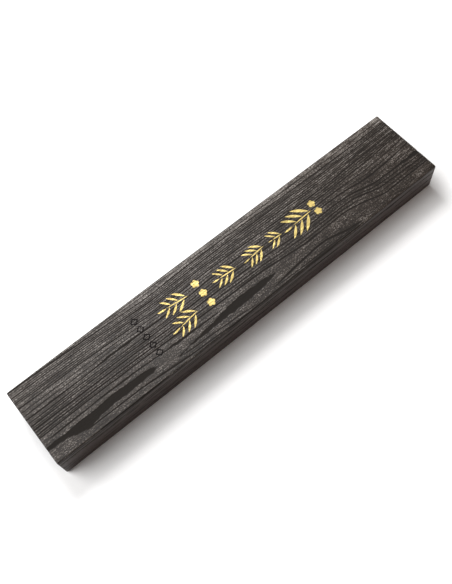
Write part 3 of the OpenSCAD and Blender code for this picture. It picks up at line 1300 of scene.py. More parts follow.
@dataclass
class WrappedHalf:
    """One half of the box, the lid or the tray: its wrap, its boards and its lining.

    Attributes:
        name: The body's name, and the start of its nodes' names.
        side: Which way its closed face looks.
        grain: The pressed grain.
        finishes: The materials.
        grain_shift: Where on the sheet of paper this wrap was cut, as shares of the lid's length and width.
        along_step: Distance between the wrap's points along the box.
        across_step: Distance between them across it.
        down_step: Distance between them down the walls.
        fine_step: Distance between them near the folds.
        fine_reach: How near is near.
        paper: Thickness of the paper.
        wall: Thickness of a wall, with the paper on both sides.
        floor: Depth of the closed face's inner side.
        fold: Radius of the folds round the closed face.
        corner: Radius of the upright corners.
        top_press: How deep the grain is pressed on the closed face.
        side_press: How deep it is pressed on the walls.
        middle_bow: How far the long walls bow out at mid-length.
        end_draw: How far they are drawn in at the ends.
        sag: How far the closed face is dished.
        seam_inset: Distance from a corner to the edge of the paper that is folded round it.
        seam_reach: Distance over which that edge steps down.
        seam_step: Height of the step.
        back_cut: Share of the fold by which the paper's back cuts across it.
        fold_rings: Stations down a fold.
        rim_steps: Steps round the rim.
        turn_in_rings: Stations up the turned-in paper.
    """

    name: str
    side: Side
    grain: WoodGrain
    finishes: Finishes
    grain_shift: tuple[float, float] = (0.0, 0.0)
    along_step: float = 1.5 * MM
    across_step: float = 0.25 * MM
    down_step: float = 0.75 * MM
    fine_step: float = 0.25 * MM
    fine_reach: float = 2.0 * MM
    paper: float = 0.28 * MM
    wall: float = 2.1 * MM
    floor: float = 1.95 * MM
    fold: float = 1.7 * MM
    corner: float = 1.0 * MM
    top_press: float = 0.15 * MM
    side_press: float = 0.08 * MM
    middle_bow: float = 0.25 * MM
    end_draw: float = 0.05 * MM
    sag: float = 0.06 * MM
    seam_inset: float = 1.4 * MM
    seam_reach: float = 0.4 * MM
    seam_step: float = 0.08 * MM
    back_cut: float = 0.3
    fold_rings: int = 7
    rim_steps: int = 6
    turn_in_rings: int = 5

    def __post_init__(self) -> None:
        """Takes the half's size from its packed wrap."""
        low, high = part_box(f"{self.name}_wrap")
        self.half_l = (high[0] - low[0]) / 2.0
        self.half_w = (high[1] - low[1]) / 2.0
        self.height = high[2] - low[2]
        self.face_z = high[2] if self.side is Side.UP else low[2]
        self.rim = self.wall / 2.0
        self.rim_start = self.height - self.rim

    def lift(self, depth: Points) -> Points:
        """Heights of points at these depths behind the closed face."""
        return self.face_z - self.side.value * depth

    def unfolded(self, x: Points, y: Points, depth: Points, on_end: Points) -> tuple[Points, Points]:
        """Where points of the box lie on the flat sheet of paper.

        Args:
            x: Places along the box.
            y: Places across it.
            depth: How far past the fold they are; 0 on the closed face.
            on_end: Whether they lie past an end's fold and not past a long side's.

        Returns:
            Shares of the lid's length, and shares of its width from its far edge.
        """
        u = 0.5 + (x + np.sign(x) * depth * on_end) / self.grain.length
        v = 0.5 - (y + np.sign(y) * depth * ~on_end) / self.grain.width
        return u + self.grain_shift[0], v + self.grain_shift[1]

    def rounded(self, x: Points, y: Points, depth: Points) -> tuple[Points, Points]:
        """Points of a sharp block moved to its folded shape.

        Args:
            x: Places along the box.
            y: Places across it.
            depth: Depths behind the closed face.

        Returns:
            The points as rows of x, y and depth, and the directions out of the paper there.
        """
        radii = np.array([self.corner, self.corner, self.fold])
        half = np.array([self.half_l, self.half_w])
        point = np.column_stack([x, y, depth])
        core = point.copy()
        core[:, :2] = np.clip(point[:, :2], -(half - radii[:2]), half - radii[:2])
        core[:, 2] = np.maximum(depth, radii[2])
        out = (point - core) / radii
        out /= np.maximum(np.linalg.norm(out, axis=1, keepdims=True), TINY)
        normal = out / radii
        normal /= np.maximum(np.linalg.norm(normal, axis=1, keepdims=True), TINY)
        return core + out * radii, normal

    def bowed(self, points: Points) -> Points:
        """Points with the long walls bowed out at mid-length, and depths turned into heights.

        Args:
            points: Rows of x, y and depth.

        Returns:
            Rows of x, y and z.
        """
        along = np.clip(np.abs(points[:, 0]) / self.half_l, 0.0, 1.0)
        bow = self.middle_bow - (self.middle_bow + self.end_draw) * along ** 2
        across = points[:, 1] * (1.0 + bow / self.half_w)
        return np.column_stack([points[:, 0], across, self.lift(points[:, 2])])

    def pressed(self, x: Points, y: Points, depth: Points, on_end: Points) -> tuple[Points, Points, Points]:
        """Points of the outside with the grain pressed in.

        Args:
            x: Places along the sharp block.
            y: Places across it.
            depth: Depths behind its closed face.
            on_end: Whether they belong to an end wall.

        Returns:
            The points, the depth of the grain there, and their places on the sheet.
        """
        u, v = self.unfolded(x, y, depth, on_end)
        grain = self.grain.depth(u, v)
        points, normal = self.rounded(x, y, depth)
        on_wall = smooth(depth / self.fold)
        press = grain * (self.top_press + (self.side_press - self.top_press) * on_wall)
        past_seam = smooth((np.abs(y) - self.half_w + self.seam_inset) / self.seam_reach)
        press = press + self.seam_step * on_end * past_seam * on_wall
        points = points - normal * press[:, None]
        middle = (1.0 - (x / self.half_l) ** 2) * (1.0 - (y / self.half_w) ** 2)
        points[:, 2] += self.sag * middle * (1.0 - on_wall)
        return self.bowed(points), grain, self.on_sheet(u, v)

    def on_sheet(self, u: Points, v: Points) -> Points:
        """Places on the flat sheet, from shares of the lid's length and width."""
        return np.column_stack([u * self.grain.length, v * self.grain.width, 0.0 * u])

    def surface_z(self, x: Points, y: Points) -> Points:
        """Height of the closed face, grain and sag included.

        Args:
            x: Places along the box.
            y: Places across it.

        Returns:
            The heights.
        """
        level = np.zeros_like(x)
        points, _, _ = self.pressed(x, y, level, level > 0.0)
        return points[:, 2]

    def inset_ring(self, tub: TubMesh, inset: float, depth: float) -> Points:
        """A ring of points inside the outline.

        Args:
            tub: The mesh whose edge it follows.
            inset: How far inside it lies.
            depth: Its depth behind the closed face.

        Returns:
            One row of three coordinates for each point.
        """
        level = np.full(len(tub.edge_x), max(depth, self.fold))
        points, _ = self.rounded(tub.edge_x, tub.edge_y, level)
        points[:, 0] *= (self.half_l - inset) / self.half_l
        points[:, 1] *= (self.half_w - inset) / self.half_w
        points[:, 2] = depth
        return self.bowed(points)

    def lay_outside(self, skin: PaperSkin) -> None:
        """Lays the closed face, its folds and the walls, down to where the rim starts to turn.

        Args:
            skin: The wrap.
        """
        tub = skin.tub
        x, y = tub.grid()
        level = np.zeros_like(x)
        points, grain, place = self.pressed(x, y, level, level > 0.0)
        tub.add_grid(points)
        skin.note(grain, place)
        fold_depths = np.linspace(0.0, self.fold, self.fold_rings)[1:]
        wall_rings = int((self.rim_start - self.fold) / self.down_step) + 2
        wall_depths = np.linspace(self.fold, self.rim_start, wall_rings)[1:]
        for depth in np.concatenate([fold_depths, wall_depths]):
            level = np.full(len(tub.edge_x), depth)
            points, grain, place = self.pressed(tub.edge_x, tub.edge_y, level, tub.on_end)
            tub.add_ring(points)
            skin.note(grain, place)

    def turn_in(self, skin: PaperSkin) -> None:
        """Turns the paper round the rim and up the inside of the walls.

        Args:
            skin: The wrap.
        """
        tub = skin.tub
        angles = np.linspace(0.0, math.pi, self.rim_steps + 1)[1:]
        turns = [
            (self.rim * (1.0 - math.cos(angle)), self.rim_start + self.rim * math.sin(angle))
            for angle in angles
        ]
        inner_depths = np.linspace(self.rim_start, self.floor, self.turn_in_rings)[1:]
        turns += [(self.wall, depth) for depth in inner_depths]
        travelled = self.rim_start
        before = (0.0, self.rim_start)
        for inset, depth in turns:
            travelled += math.hypot(inset - before[0], depth - before[1])
            before = (inset, depth)
            level = np.full(len(tub.edge_x), travelled)
            u, v = self.unfolded(tub.edge_x, tub.edge_y, level, tub.on_end)
            tub.add_ring(self.inset_ring(tub, inset, depth))
            skin.note(self.grain.depth(u, v), self.on_sheet(u, v))

    def lay_back(self, skin: PaperSkin) -> None:
        """Lays the back of the paper, against the board, and closes the mesh.

        Args:
            skin: The wrap.
        """
        paper = self.paper
        cut = self.back_cut * self.fold + paper
        back = [
            (self.wall - paper, self.floor),
            (self.wall - paper, self.height - paper),
            (paper, self.height - paper),
            (paper, self.fold),
            (cut, cut),
            (self.fold, paper),
        ]
        for inset, depth in back:
            ring = self.inset_ring(skin.tub, inset, depth)
            skin.tub.add_ring(ring)
            skin.note(np.zeros(len(ring)), ring)
        skin.tub.close_with_strips()

    def make_wrap(self) -> bpy.types.Object:
        """Builds the paper wrap: outside, rim, turn-in, and the back that lies on the board.

        Returns:
            The wrap.
        """
        xs = graded(self.half_l, self.along_step, self.fine_step, self.fine_reach)
        ys = graded(self.half_w, self.across_step, min(self.across_step, self.fine_step), self.fine_reach)
        skin = PaperSkin(TubMesh(xs, ys))
        self.lay_outside(skin)
        self.turn_in(skin)
        self.lay_back(skin)
        wrap = skin.tub.build(f"{self.name}_paper")
        store_value(wrap, GRAIN_ATTRIBUTE, np.concatenate(skin.grains))
        store_place(wrap, PLACE_ATTRIBUTE, np.concatenate(skin.places))
        dress(wrap, self.finishes.grain_paper)
        stand_in(wrap, self.name, "grain_paper", f"{self.name}_wrap")
        return wrap

    def dress_core(self) -> None:
        """Gives the boards, the tape and the lining their materials."""
        nodes = frame["nodes"]
        dress(nodes[f"{self.name}_board"], self.finishes.greyboard)
        dress(nodes[f"{self.name}_corner_stays"], self.finishes.kraft_tape)
        dress(nodes[f"{self.name}_liner"], self.finishes.lining_paper)
        LOG.info("%s board, corner stays and liner dressed", self.name)


# --------------------------------------------------------------------------------------------------
# Stamped and moulded ornament
# --------------------------------------------------------------------------------------------------


@dataclass
class Ornament:
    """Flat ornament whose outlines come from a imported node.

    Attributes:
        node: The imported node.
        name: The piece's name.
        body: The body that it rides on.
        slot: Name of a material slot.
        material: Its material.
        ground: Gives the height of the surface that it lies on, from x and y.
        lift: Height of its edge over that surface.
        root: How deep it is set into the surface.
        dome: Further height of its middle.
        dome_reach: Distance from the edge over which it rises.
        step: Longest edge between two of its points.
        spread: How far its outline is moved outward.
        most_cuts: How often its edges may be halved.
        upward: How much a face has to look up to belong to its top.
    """

    node: str
    name: str
    body: str
    slot: str
    material: bpy.types.Material
    ground: Callable[[Points, Points], Points]
    lift: float = 0.03 * MM
    root: float = 0.05 * MM
    dome: float = 0.0
    dome_reach: float = 0.7 * MM
    step: float = 0.6 * MM
    spread: float = 0.0
    most_cuts: int = 6
    upward: float = 0.9

    def outline(self) -> bmesh.types.BMesh:
        """The node's upper faces.

        Returns:
            A flat mesh, one patch for each separate shape.
        """
        soup = bmesh.new()
        soup.from_mesh(frame["nodes"][self.node].data)
        bmesh.ops.remove_doubles(soup, verts=soup.verts, dist=WELD)
        bmesh.ops.recalc_face_normals(soup, faces=soup.faces)
        top = max(vert.co.z for vert in soup.verts)
        lower = [
            face
            for face in soup.faces
            if face.normal.z < self.upward or face.calc_center_median().z < top - WELD
        ]
        bmesh.ops.delete(soup, geom=lower, context="FACES")
        if self.spread:
            self.widen(soup)
        return soup

    def widen(self, soup: bmesh.types.BMesh) -> None:
        """Moves the outline outward by the spread, as foil squeezes out under the stamp.

        Args:
            soup: The flat mesh.
        """
        moves = {}
        for vert in soup.verts:
            out = Vector((0.0, 0.0, 0.0))
            for edge in (edge for edge in vert.link_edges if edge.is_boundary):
                away = (edge.verts[0].co + edge.verts[1].co) / 2.0 - edge.link_faces[0].calc_center_median()
                run = (edge.verts[1].co - edge.verts[0].co).normalized()
                side = away - run * away.dot(run)
                out += side.normalized()
            if out.length > 0.0:
                moves[vert] = out.normalized() * self.spread
        for vert, move in moves.items():
            vert.co += Vector((move.x, move.y, 0.0))

    def refine(self, soup: bmesh.types.BMesh) -> None:
        """Cuts long edges until the ornament can follow the surface.

        Args:
            soup: The flat mesh.
        """
        for _ in range(self.most_cuts):
            long_edges = [edge for edge in soup.edges if edge.calc_length() > self.step]
            if not long_edges:
                break
            bmesh.ops.subdivide_edges(soup, edges=long_edges, cuts=1)
            bmesh.ops.triangulate(soup, faces=[face for face in soup.faces if len(face.verts) > 3])

    def rise(self, soup: bmesh.types.BMesh) -> Points:
        """How far each point stands over the ornament's edge.

        Args:
            soup: The flat mesh.

        Returns:
            One height for each point.
        """
        borders = [edge for edge in soup.edges if edge.is_boundary]
        tree = KDTree(2 * len(borders))
        for i, edge in enumerate(borders):
            first, second = (vert.co for vert in edge.verts)
            tree.insert(first, 2 * i)
            tree.insert((first + second) / 2.0, 2 * i + 1)
        tree.balance()
        distances = np.array([tree.find(vert.co)[2] for vert in soup.verts])
        share = np.clip(distances / self.dome_reach, 0.0, 1.0)
        return self.dome * np.sqrt(1.0 - (1.0 - share) ** 2)

    def stand_up(self, soup: bmesh.types.BMesh) -> None:
        """Turns the flat mesh into a solid one that is rooted in its ground.

        Args:
            soup: The flat mesh.
        """
        rise = self.rise(soup) if self.dome else np.zeros(len(soup.verts))
        places = np.array([vert.co[:] for vert in soup.verts])
        ground = self.ground(places[:, 0], places[:, 1])
        soup.verts.ensure_lookup_table()
        grown = bmesh.ops.extrude_face_region(soup, geom=list(soup.faces), use_keep_orig=True)
        upper = [item for item in grown["geom"] if isinstance(item, bmesh.types.BMVert)]
        soup.verts.ensure_lookup_table()
        for i, vert in enumerate(soup.verts[: len(places)]):
            vert.co.z = ground[i] - self.root
        tree = KDTree(len(places))
        for i, place in enumerate(places):
            tree.insert((place[0], place[1], 0.0), i)
        tree.balance()
        for vert in upper:
            i = tree.find((vert.co.x, vert.co.y, 0.0))[1]
            vert.co.z = ground[i] + self.lift + rise[i]
        bmesh.ops.recalc_face_normals(soup, faces=soup.faces)

    def make(self) -> bpy.types.Object:
        """Builds the ornament on its ground.

        Returns:
            The piece.
        """
        soup = self.outline()
        self.refine(soup)
        self.stand_up(soup)
        mesh = bpy.data.meshes.new(self.name)
        soup.to_mesh(mesh)
        soup.free()
        piece = bpy.data.objects.new(self.name, mesh)
        bpy.context.scene.collection.objects.link(piece)
        dress(piece, self.material)
        stand_in(piece, self.body, self.slot, self.node)
        return piece


# --------------------------------------------------------------------------------------------------
# The cradle
# --------------------------------------------------------------------------------------------------


@dataclass
class Cradle:
    """The foam cradle and its cloth cover.

    Attributes:
        finishes: The materials.
        stick_gap: Play between the stick and the cloth.
        well_l: Length of the finger wells.
        corner: Radius of the corners.
        edge_reach: Distance over which an edge rounds off.
        edge_drop: How far it drops.
        bed_drop: Share of that drop at the ends of the finger wells.
        wall_run: How far the recess's walls slope.
        turn_under: How far the cloth is turned under the card.
        cloth: Thickness of the cloth.
        foam_inset: How far the foam lies inside the cloth.
        cloth_step: Distance between the cloth's points.
        foam_step: Distance between the foam's points.
        fine_step: Distance between them near the edges.
        fine_reach: How near is near.
        side_rings: Stations down the sides.
        under_shares: Where the turned-under cloth has its rings.
        crease_height: Height of the small folds at the corners of the recess and the wells.
        crease_fade: Distance over which they fade.
        crease_start: Distance from the corner at which they start.
        crease_folds: How many run from a corner.
        ripples: Height, and spacing along and across, of each unevenness of the cloth.
        still: Distance from the recess within which the cloth lies still.
        seed: Start of the random numbers.
    """

    finishes: Finishes
    stick_gap: float = 0.5 * MM
    well_l: float = 26.0 * MM
    corner: float = 2.0 * MM
    edge_reach: float = 2.4 * MM
    edge_drop: float = 0.55 * MM
    bed_drop: float = 0.4
    wall_run: float = 0.8 * MM
    turn_under: float = 7.0 * MM
    cloth: float = 0.35 * MM
    foam_inset: float = 0.7 * MM
    cloth_step: float = 1.5 * MM
    foam_step: float = 3.0 * MM
    fine_step: float = 0.3 * MM
    fine_reach: float = 1.6 * MM
    side_rings: int = 12
    under_shares: Range = (0.3, 1.0)
    crease_height: float = 0.14 * MM
    crease_fade: float = 5.0 * MM
    crease_start: float = 1.2 * MM
    crease_folds: float = 7.0
    ripples: tuple[Color, ...] = (
        (0.07 * MM, 9.0 * MM, 6.0 * MM),
        (0.03 * MM, 3.0 * MM, 2.0 * MM),
    )
    still: float = 1.5 * MM
    seed: int = 5

    def __post_init__(self) -> None:
        """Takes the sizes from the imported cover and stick."""
        low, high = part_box("cradle_cover")
        stick_low, stick_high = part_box("ink_stick")
        self.half_l = (high[0] - low[0]) / 2.0
        self.half_w = (high[1] - low[1]) / 2.0
        self.base_z = low[2]
        self.top_z = high[2]
        self.bed_z = stick_low[2]
        self.recess_l = (stick_high[0] - stick_low[0]) / 2.0 + self.stick_gap
        self.recess_w = (stick_high[1] - stick_low[1]) / 2.0 + self.stick_gap

    def from_hollow(self, x: Points, y: Points) -> Points:
        """Distance of a place from the recess and the wells.

        Args:
            x: Places along the box.
            y: Places across it.

        Returns:
            The distances, below 0 inside the recess and the wells.
        """
        reach_x = np.abs(x) - (self.recess_l - self.corner)
        reach_y = np.abs(y) - (self.recess_w - self.corner)
        outside = np.hypot(np.maximum(reach_x, 0.0), np.maximum(reach_y, 0.0))
        recess = outside + np.minimum(np.maximum(reach_x, reach_y), 0.0) - self.corner
        well = np.abs(x) - self.well_l / 2.0
        return np.minimum(recess, well)

    def height(self, x: Points, y: Points, inset: float) -> Points:
        """Height of the cloth, or of the foam under it.

        Args:
            x: Places along the box.
            y: Places across it.
            inset: How far the surface lies inside the cloth.

        Returns:
            The heights.
        """
        hollow = self.from_hollow(x, y) - inset
        edge = np.minimum(self.half_l - np.abs(x), self.half_w - np.abs(y))
        wall = smooth(hollow / self.wall_run + 0.5)
        near_hollow = 1.0 - np.clip(hollow / self.edge_reach, 0.0, 1.0)
        near_edge = 1.0 - np.clip(edge / self.edge_reach, 0.0, 1.0)
        drop = self.edge_drop * (near_hollow ** 2 + near_edge ** 2)
        top = self.top_z - inset - drop
        bed = self.bed_z - inset - self.bed_drop * self.edge_drop * near_edge ** 2
        return bed + (top - bed) * wall

    def creases(self, x: Points, y: Points) -> Points:
        """Small folds that run from the corners of the recess and the wells, and ripples.

        Args:
            x: Places along the box.
            y: Places across it.

        Returns:
            How far they raise the cloth.
        """
        total = np.zeros_like(x)
        wander = Wander(self.seed)
        corners = [(sx * self.recess_l, sy * self.recess_w) for sx in (-1, 1) for sy in (-1, 1)]
        corners += [(sx * self.well_l / 2.0, sy * self.recess_w) for sx in (-1, 1) for sy in (-1, 1)]
        for corner_x, corner_y in corners:
            away = np.hypot(x - corner_x, y - corner_y)
            angle = np.arctan2(y - corner_y, x - corner_x)
            phase = wander.random.uniform(0.0, 2.0 * math.pi)
            fade = np.exp(-away / self.crease_fade) * smooth(away / self.crease_start)
            total += self.crease_height * fade * np.cos(self.crease_folds * angle + phase)
        for height, first_step, second_step in self.ripples:
            total += height * wander.plane(x, y, first_step, second_step)
        return total * smooth(self.from_hollow(x, y) / self.still)

    def plan(self, x: Points, y: Points, inset: float) -> tuple[Points, Points]:
        """Places of a sharp rectangle moved to one with round corners.

        Args:
            x: Places along the box.
            y: Places across it.
            inset: How far they are taken in.

        Returns:
            The new places along the box and across it.
        """
        core_x = np.clip(x, -(self.half_l - self.corner), self.half_l - self.corner)
        core_y = np.clip(y, -(self.half_w - self.corner), self.half_w - self.corner)
        out_x = x - core_x
        out_y = y - core_y
        reach = np.hypot(out_x, out_y)
        square = np.maximum(np.abs(out_x), np.abs(out_y))
        share = np.where(reach > 0.0, square / np.maximum(reach, TINY), 1.0)
        round_x = core_x + out_x * share
        round_y = core_y + out_y * share
        return round_x * (1.0 - inset / self.half_l), round_y * (1.0 - inset / self.half_w)

    def form(self, inset: float, coarse: float) -> TubMesh:
        """The cradle's top and sides, down to its foot.

        Args:
            inset: How far it lies inside the cloth.
            coarse: Distance between its points away from the edges.

        Returns:
            Its mesh, open below.
        """
        marks = (self.recess_l + inset, self.well_l / 2.0 + inset)
        xs = graded(self.half_l, coarse, self.fine_step, self.fine_reach, marks)
        ys = graded(self.half_w, coarse, self.fine_step, self.fine_reach, (self.recess_w + inset,))
        tub = TubMesh(xs, ys)
        x, y = tub.grid()
        plan_x, plan_y = self.plan(x, y, inset)
        z = self.height(x, y, inset)
        if inset == 0.0:
            z = z + self.creases(x, y)
        tub.add_grid(np.column_stack([plan_x, plan_y, z]))
        edge_x, edge_y = self.plan(tub.edge_x, tub.edge_y, inset)
        edge_z = z[tub.ring]
        foot = self.base_z + inset
        for share in np.linspace(0.0, 1.0, self.side_rings)[1:]:
            tub.add_ring(np.column_stack([edge_x, edge_y, edge_z + (foot - edge_z) * share]))
        return tub

    def make_cover(self) -> bpy.types.Object:
        """Builds the cloth cover.

        Returns:
            The cover.
        """
        tub = self.form(0.0, self.cloth_step)
        edge_x, edge_y = self.plan(tub.edge_x, tub.edge_y, 0.0)
        for share in self.under_shares:
            inset = share * self.turn_under
            x = edge_x * (1.0 - inset / self.half_l)
            y = edge_y * (1.0 - inset / self.half_w)
            tub.add_ring(np.column_stack([x, y, np.full_like(x, self.base_z)]))
        cover = tub.build("cradle_cloth", outward=False)
        points = np.concatenate(tub.points)
        drop = np.maximum(self.top_z - points[:, 2], 0.0)
        past_side = np.abs(points[:, 1]) > self.half_w - 0.5 * MM
        place = np.column_stack([points[:, 0], points[:, 1] + np.sign(points[:, 1]) * drop * past_side, drop])
        store_place(cover, PLACE_ATTRIBUTE, place)
        thickness = cover.modifiers.new("cloth_thickness", "SOLIDIFY")
        thickness.thickness = self.cloth
        thickness.offset = -1.0
        dress(cover, self.finishes.cradle_cloth)
        stand_in(cover, "tray", "cradle_cloth", "cradle_cover")
        return cover

    def make_foam(self) -> bpy.types.Object:
        """Builds the foam under the cloth.

        Returns:
            The foam.
        """
        tub = self.form(self.foam_inset, self.foam_step)
        tub.close_with_strips()
        foam = tub.build("foam_block")
        dress(foam, self.finishes.foam)
        stand_in(foam, "tray", "foam", "cradle_foam")
        return foam

    def make(self) -> None:
        """Builds the cradle."""
        self.make_foam()
        self.make_cover()
        dress(frame["nodes"]["cradle_card"], self.finishes.white_card)


# --------------------------------------------------------------------------------------------------
# The ink stick
# --------------------------------------------------------------------------------------------------


@dataclass
class InkStick:
    """The moulded stick with its gilt relief.

    Attributes:
        finishes: The materials.
        edge: Radius of its edges.
        border: Width of the raised border round each panel.
        sink: Depth of the panels.
        panel_corner: Radius of their corners.
        slope: Distance over which they sink.
        unevenness: How uneven the pressed ink is.
        uneven_steps: Spacing of that unevenness, along the stick and round it.
        facing: How squarely a point has to face out of a side to belong to its panel.
        steps: Distances between the points along, across and up.
        fine_step: Distance between them near the edges.
        fine_reach: How near is near.
        seed: Start of the random numbers.
    """

    finishes: Finishes
    edge: float = 1.4 * MM
    border: float = 2.6 * MM
    sink: float = 0.5 * MM
    panel_corner: float = 1.0 * MM
    slope: float = 0.7 * MM
    unevenness: float = 0.05 * MM
    uneven_steps: Range = (7.0 * MM, 4.0 * MM)
    facing: float = 0.99
    steps: Color = (1.6 * MM, 0.9 * MM, 0.6 * MM)
    fine_step: float = 0.25 * MM
    fine_reach: float = 1.6 * MM
    seed: int = 23

    def __post_init__(self) -> None:
        """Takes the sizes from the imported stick."""
        low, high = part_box("ink_stick")
        self.half = np.array([(high[i] - low[i]) / 2.0 for i in range(3)])
        self.middle_z = (high[2] + low[2]) / 2.0

    def sunk(self, first: Points, second: Points, half_first: float, half_second: float) -> Points:
        """Depth of a panel at these places of one face.

        Args:
            first: Places along the face.
            second: Places across it.
            half_first: Half of the face's length.
            half_second: Half of its width.

        Returns:
            The depth, 0 on the border.
        """
        reach_a = np.abs(first) - (half_first - self.border - self.panel_corner)
        reach_b = np.abs(second) - (half_second - self.border - self.panel_corner)
        outside = np.hypot(np.maximum(reach_a, 0.0), np.maximum(reach_b, 0.0))
        distance = outside + np.minimum(np.maximum(reach_a, reach_b), 0.0) - self.panel_corner
        return self.sink * smooth(-distance / self.slope)

    def moulded(self, points: Points) -> Points:
        """Points of a sharp bar moved to its rounded, panelled shape.

        Args:
            points: Rows of three coordinates about the bar's middle.

        Returns:
            The moved points, at the stick's height.
        """
        core = np.clip(points, -(self.half - self.edge), self.half - self.edge)
        out = points - core
        out /= np.maximum(np.linalg.norm(out, axis=1, keepdims=True), TINY)
        upright = np.abs(out[:, 2]) > self.facing
        sideways = np.abs(out[:, 1]) > self.facing
        depth = upright * self.sunk(points[:, 0], points[:, 1], self.half[0], self.half[1])
        depth = depth + sideways * self.sunk(points[:, 0], points[:, 2], self.half[0], self.half[2])
        wander = Wander(self.seed)
        uneven = wander.plane(points[:, 0], points[:, 1] + points[:, 2], *self.uneven_steps)
        depth = depth + self.unevenness * (0.5 + 0.5 * uneven)
        moved = core + out * (self.edge - depth[:, None])
        moved[:, 2] += self.middle_z
        return moved

    def make_bar(self) -> bpy.types.Object:
        """Builds the bar.

        Returns:
            The bar.
        """
        xs, ys, zs = (
            graded(half, step, self.fine_step, self.fine_reach, (half - self.border,))
            for half, step in zip(self.half, self.steps)
        )
        tub = TubMesh(xs, ys)
        x, y = tub.grid()
        tub.add_grid(self.moulded(np.column_stack([x, y, np.full_like(x, self.half[2])])))
        for z in zs[::-1][1:]:
            tub.add_ring(self.moulded(np.column_stack([tub.edge_x, tub.edge_y, np.full_like(tub.edge_x, z)])))
        tub.close_with_grid(self.moulded(np.column_stack([x, y, np.full_like(x, -self.half[2])])))
        bar = tub.build("stick_bar")
        dress(bar, self.finishes.pressed_ink)
        stand_in(bar, "stick", "pressed_ink", "ink_stick")
        return bar

    def make_relief(self) -> bpy.types.Object:
        """Builds the gilt bamboo on the upper panel.

        Returns:
            The relief.
        """
        floor = self.middle_z + self.half[2] - self.sink - self.unevenness
        relief = Ornament(
            "stick_gilding",
            "gilt_relief",
            "stick",
            "gilding",
            self.finishes.gilding,
            lambda x, y: np.full_like(x, floor),
            lift=0.14 * MM,
            root=0.05 * MM,
            dome=0.22 * MM,
            dome_reach=0.75 * MM,
            step=0.5 * MM,
        )
        return relief.make()

    def make(self) -> None:
        """Builds the stick."""
        self.make_bar()
        self.make_relief()


# --------------------------------------------------------------------------------------------------
# The studio
# --------------------------------------------------------------------------------------------------


@dataclass(frozen=True)
class SoftLight:
    """A square lamp that looks at a point.

    Attributes:
        name: Its name.
        place: Where it hangs.
        aim: The point that it looks at.
        size: Length of its sides.
        power: Its power in watts.
        color: The colour of its light.
    """

    name: str
    place: Color
    aim: Color
    size: float
    power: float
    color: Color = (1.0, 1.0, 1.0)

    def make(self) -> bpy.types.Object:
        """Hangs the lamp.

        Returns:
            The lamp.
        """
        data = bpy.data.lights.new(self.name, "AREA")
        data.size = self.size
        data.energy = self.power
        data.color = self.color
        lamp = bpy.data.objects.new(self.name, data)
        bpy.context.scene.collection.objects.link(lamp)
        lamp.location = self.place
        way = Vector(self.aim) - Vector(self.place)
        lamp.rotation_euler = way.to_track_quat("-Z", "Y").to_euler()
        return lamp


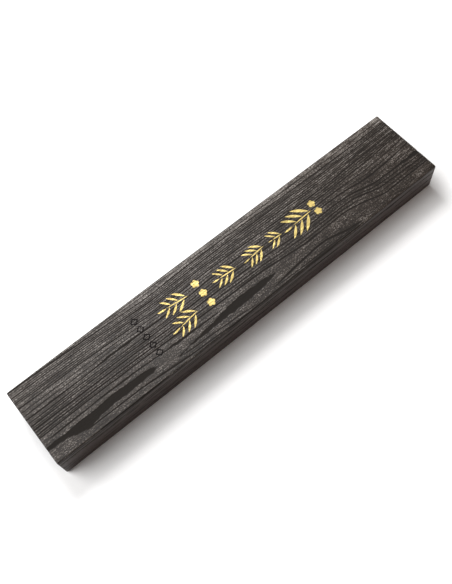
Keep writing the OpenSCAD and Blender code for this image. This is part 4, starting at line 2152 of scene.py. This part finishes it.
@dataclass
class Studio:
    """Floor, lamps and camera.

    Attributes:
        finishes: The materials.
        eye: Where the camera stands.
        aim: The point that it looks at.
        roll_degrees: How far it is turned about its own axis.
        lens_mm: Its focal length in millimetres.
        near_clip: Nearest distance that it sees.
        floor_half: Half of the floor's side.
        surround: Strength of the even light from all round.
        lamps: The lamps.
    """

    finishes: Finishes
    eye: Color = (-0.1132, -0.1678, 0.4352)
    aim: Color = (-0.0110, -0.0072, 0.0232)
    roll_degrees: float = 7.70
    lens_mm: float = 45.8
    near_clip: float = 0.01
    floor_half: float = 4.0
    surround: float = 0.20
    lamps: tuple[SoftLight, ...] = (
        SoftLight("wide", (-1.2, 0.9, 1.6), (0.0, 0.0, 0.0), 1.8, 54.0),
        SoftLight("key", (0.06, 0.42, 0.46), (0.0, 0.0, 0.02), 0.30, 3.8),
        SoftLight("warm", (0.45, -0.70, 0.16), (0.06, 0.0, 0.01), 0.50, 1.2, (1.0, 0.62, 0.40)),
    )

    def make_floor(self) -> None:
        """Lays the floor."""
        half = self.floor_half
        signs = ((-1.0, -1.0), (1.0, -1.0), (1.0, 1.0), (-1.0, 1.0))
        corners = np.array([[sign_x * half, sign_y * half, 0.0] for sign_x, sign_y in signs])
        floor = new_object("studio_floor", corners, [(0, 1, 2, 3)], outward=False)
        dress(floor, self.finishes.floor)

    def make_camera(self) -> None:
        """Sets the camera up."""
        data = bpy.data.cameras.new("camera")
        data.lens = self.lens_mm
        data.clip_start = self.near_clip
        camera = bpy.data.objects.new("camera", data)
        bpy.context.scene.collection.objects.link(camera)
        forward = (Vector(self.aim) - Vector(self.eye)).normalized()
        right = forward.cross(Vector((0.0, 0.0, 1.0))).normalized()
        up = right.cross(forward)
        level = Matrix((right, up, -forward)).transposed()
        turn = Matrix.Rotation(math.radians(-self.roll_degrees), 3, "Z")
        camera.matrix_world = Matrix.Translation(self.eye) @ (level @ turn).to_4x4()
        bpy.context.scene.camera = camera

    def make_surround(self) -> None:
        """Fills the room with even light."""
        world = bpy.data.worlds.new("studio")
        world.use_nodes = True
        background = world.node_tree.nodes["Background"]
        background.inputs["Color"].default_value = (1.0, 1.0, 1.0, 1.0)
        background.inputs["Strength"].default_value = self.surround
        bpy.context.scene.world = world

    def make(self) -> None:
        """Sets the studio up."""
        self.make_floor()
        self.make_surround()
        for lamp in self.lamps:
            lamp.make()
        self.make_camera()
        bpy.context.scene.view_settings.view_transform = "Standard"
        LOG.info("studio ready")


# --------------------------------------------------------------------------------------------------


def main() -> None:
    """Builds every piece in order."""
    logging.basicConfig(level=logging.INFO, format="%(message)s")
    finishes = Finishes()
    Studio(finishes).make()

    low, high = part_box("lid_wrap")
    grain = WoodGrain(high[0] - low[0], high[1] - low[1])
    lid = WrappedHalf("lid", Side.UP, grain, finishes)
    lid.make_wrap()
    lid.dress_core()
    tray = WrappedHalf(
        "tray",
        Side.DOWN,
        grain,
        finishes,
        grain_shift=(0.03, 0.11),
        along_step=2.4 * MM,
        across_step=0.6 * MM,
    )
    tray.make_wrap()
    tray.dress_core()

    for node, name, slot, material, spread in (
        ("foil_sprigs", "gold_sprigs", "gold_foil", finishes.gold_foil, 0.0),
        ("foil_blossoms", "gold_blossoms", "gold_foil", finishes.gold_foil, 0.0),
        ("pressed_lozenges", "black_lozenges", "black_foil", finishes.black_foil, 0.14 * MM),
    ):
        Ornament(node, name, "lid", slot, material, lid.surface_z, spread=spread).make()

    Cradle(finishes).make()
    InkStick(finishes).make()


if __name__ == "__main__":
    main()
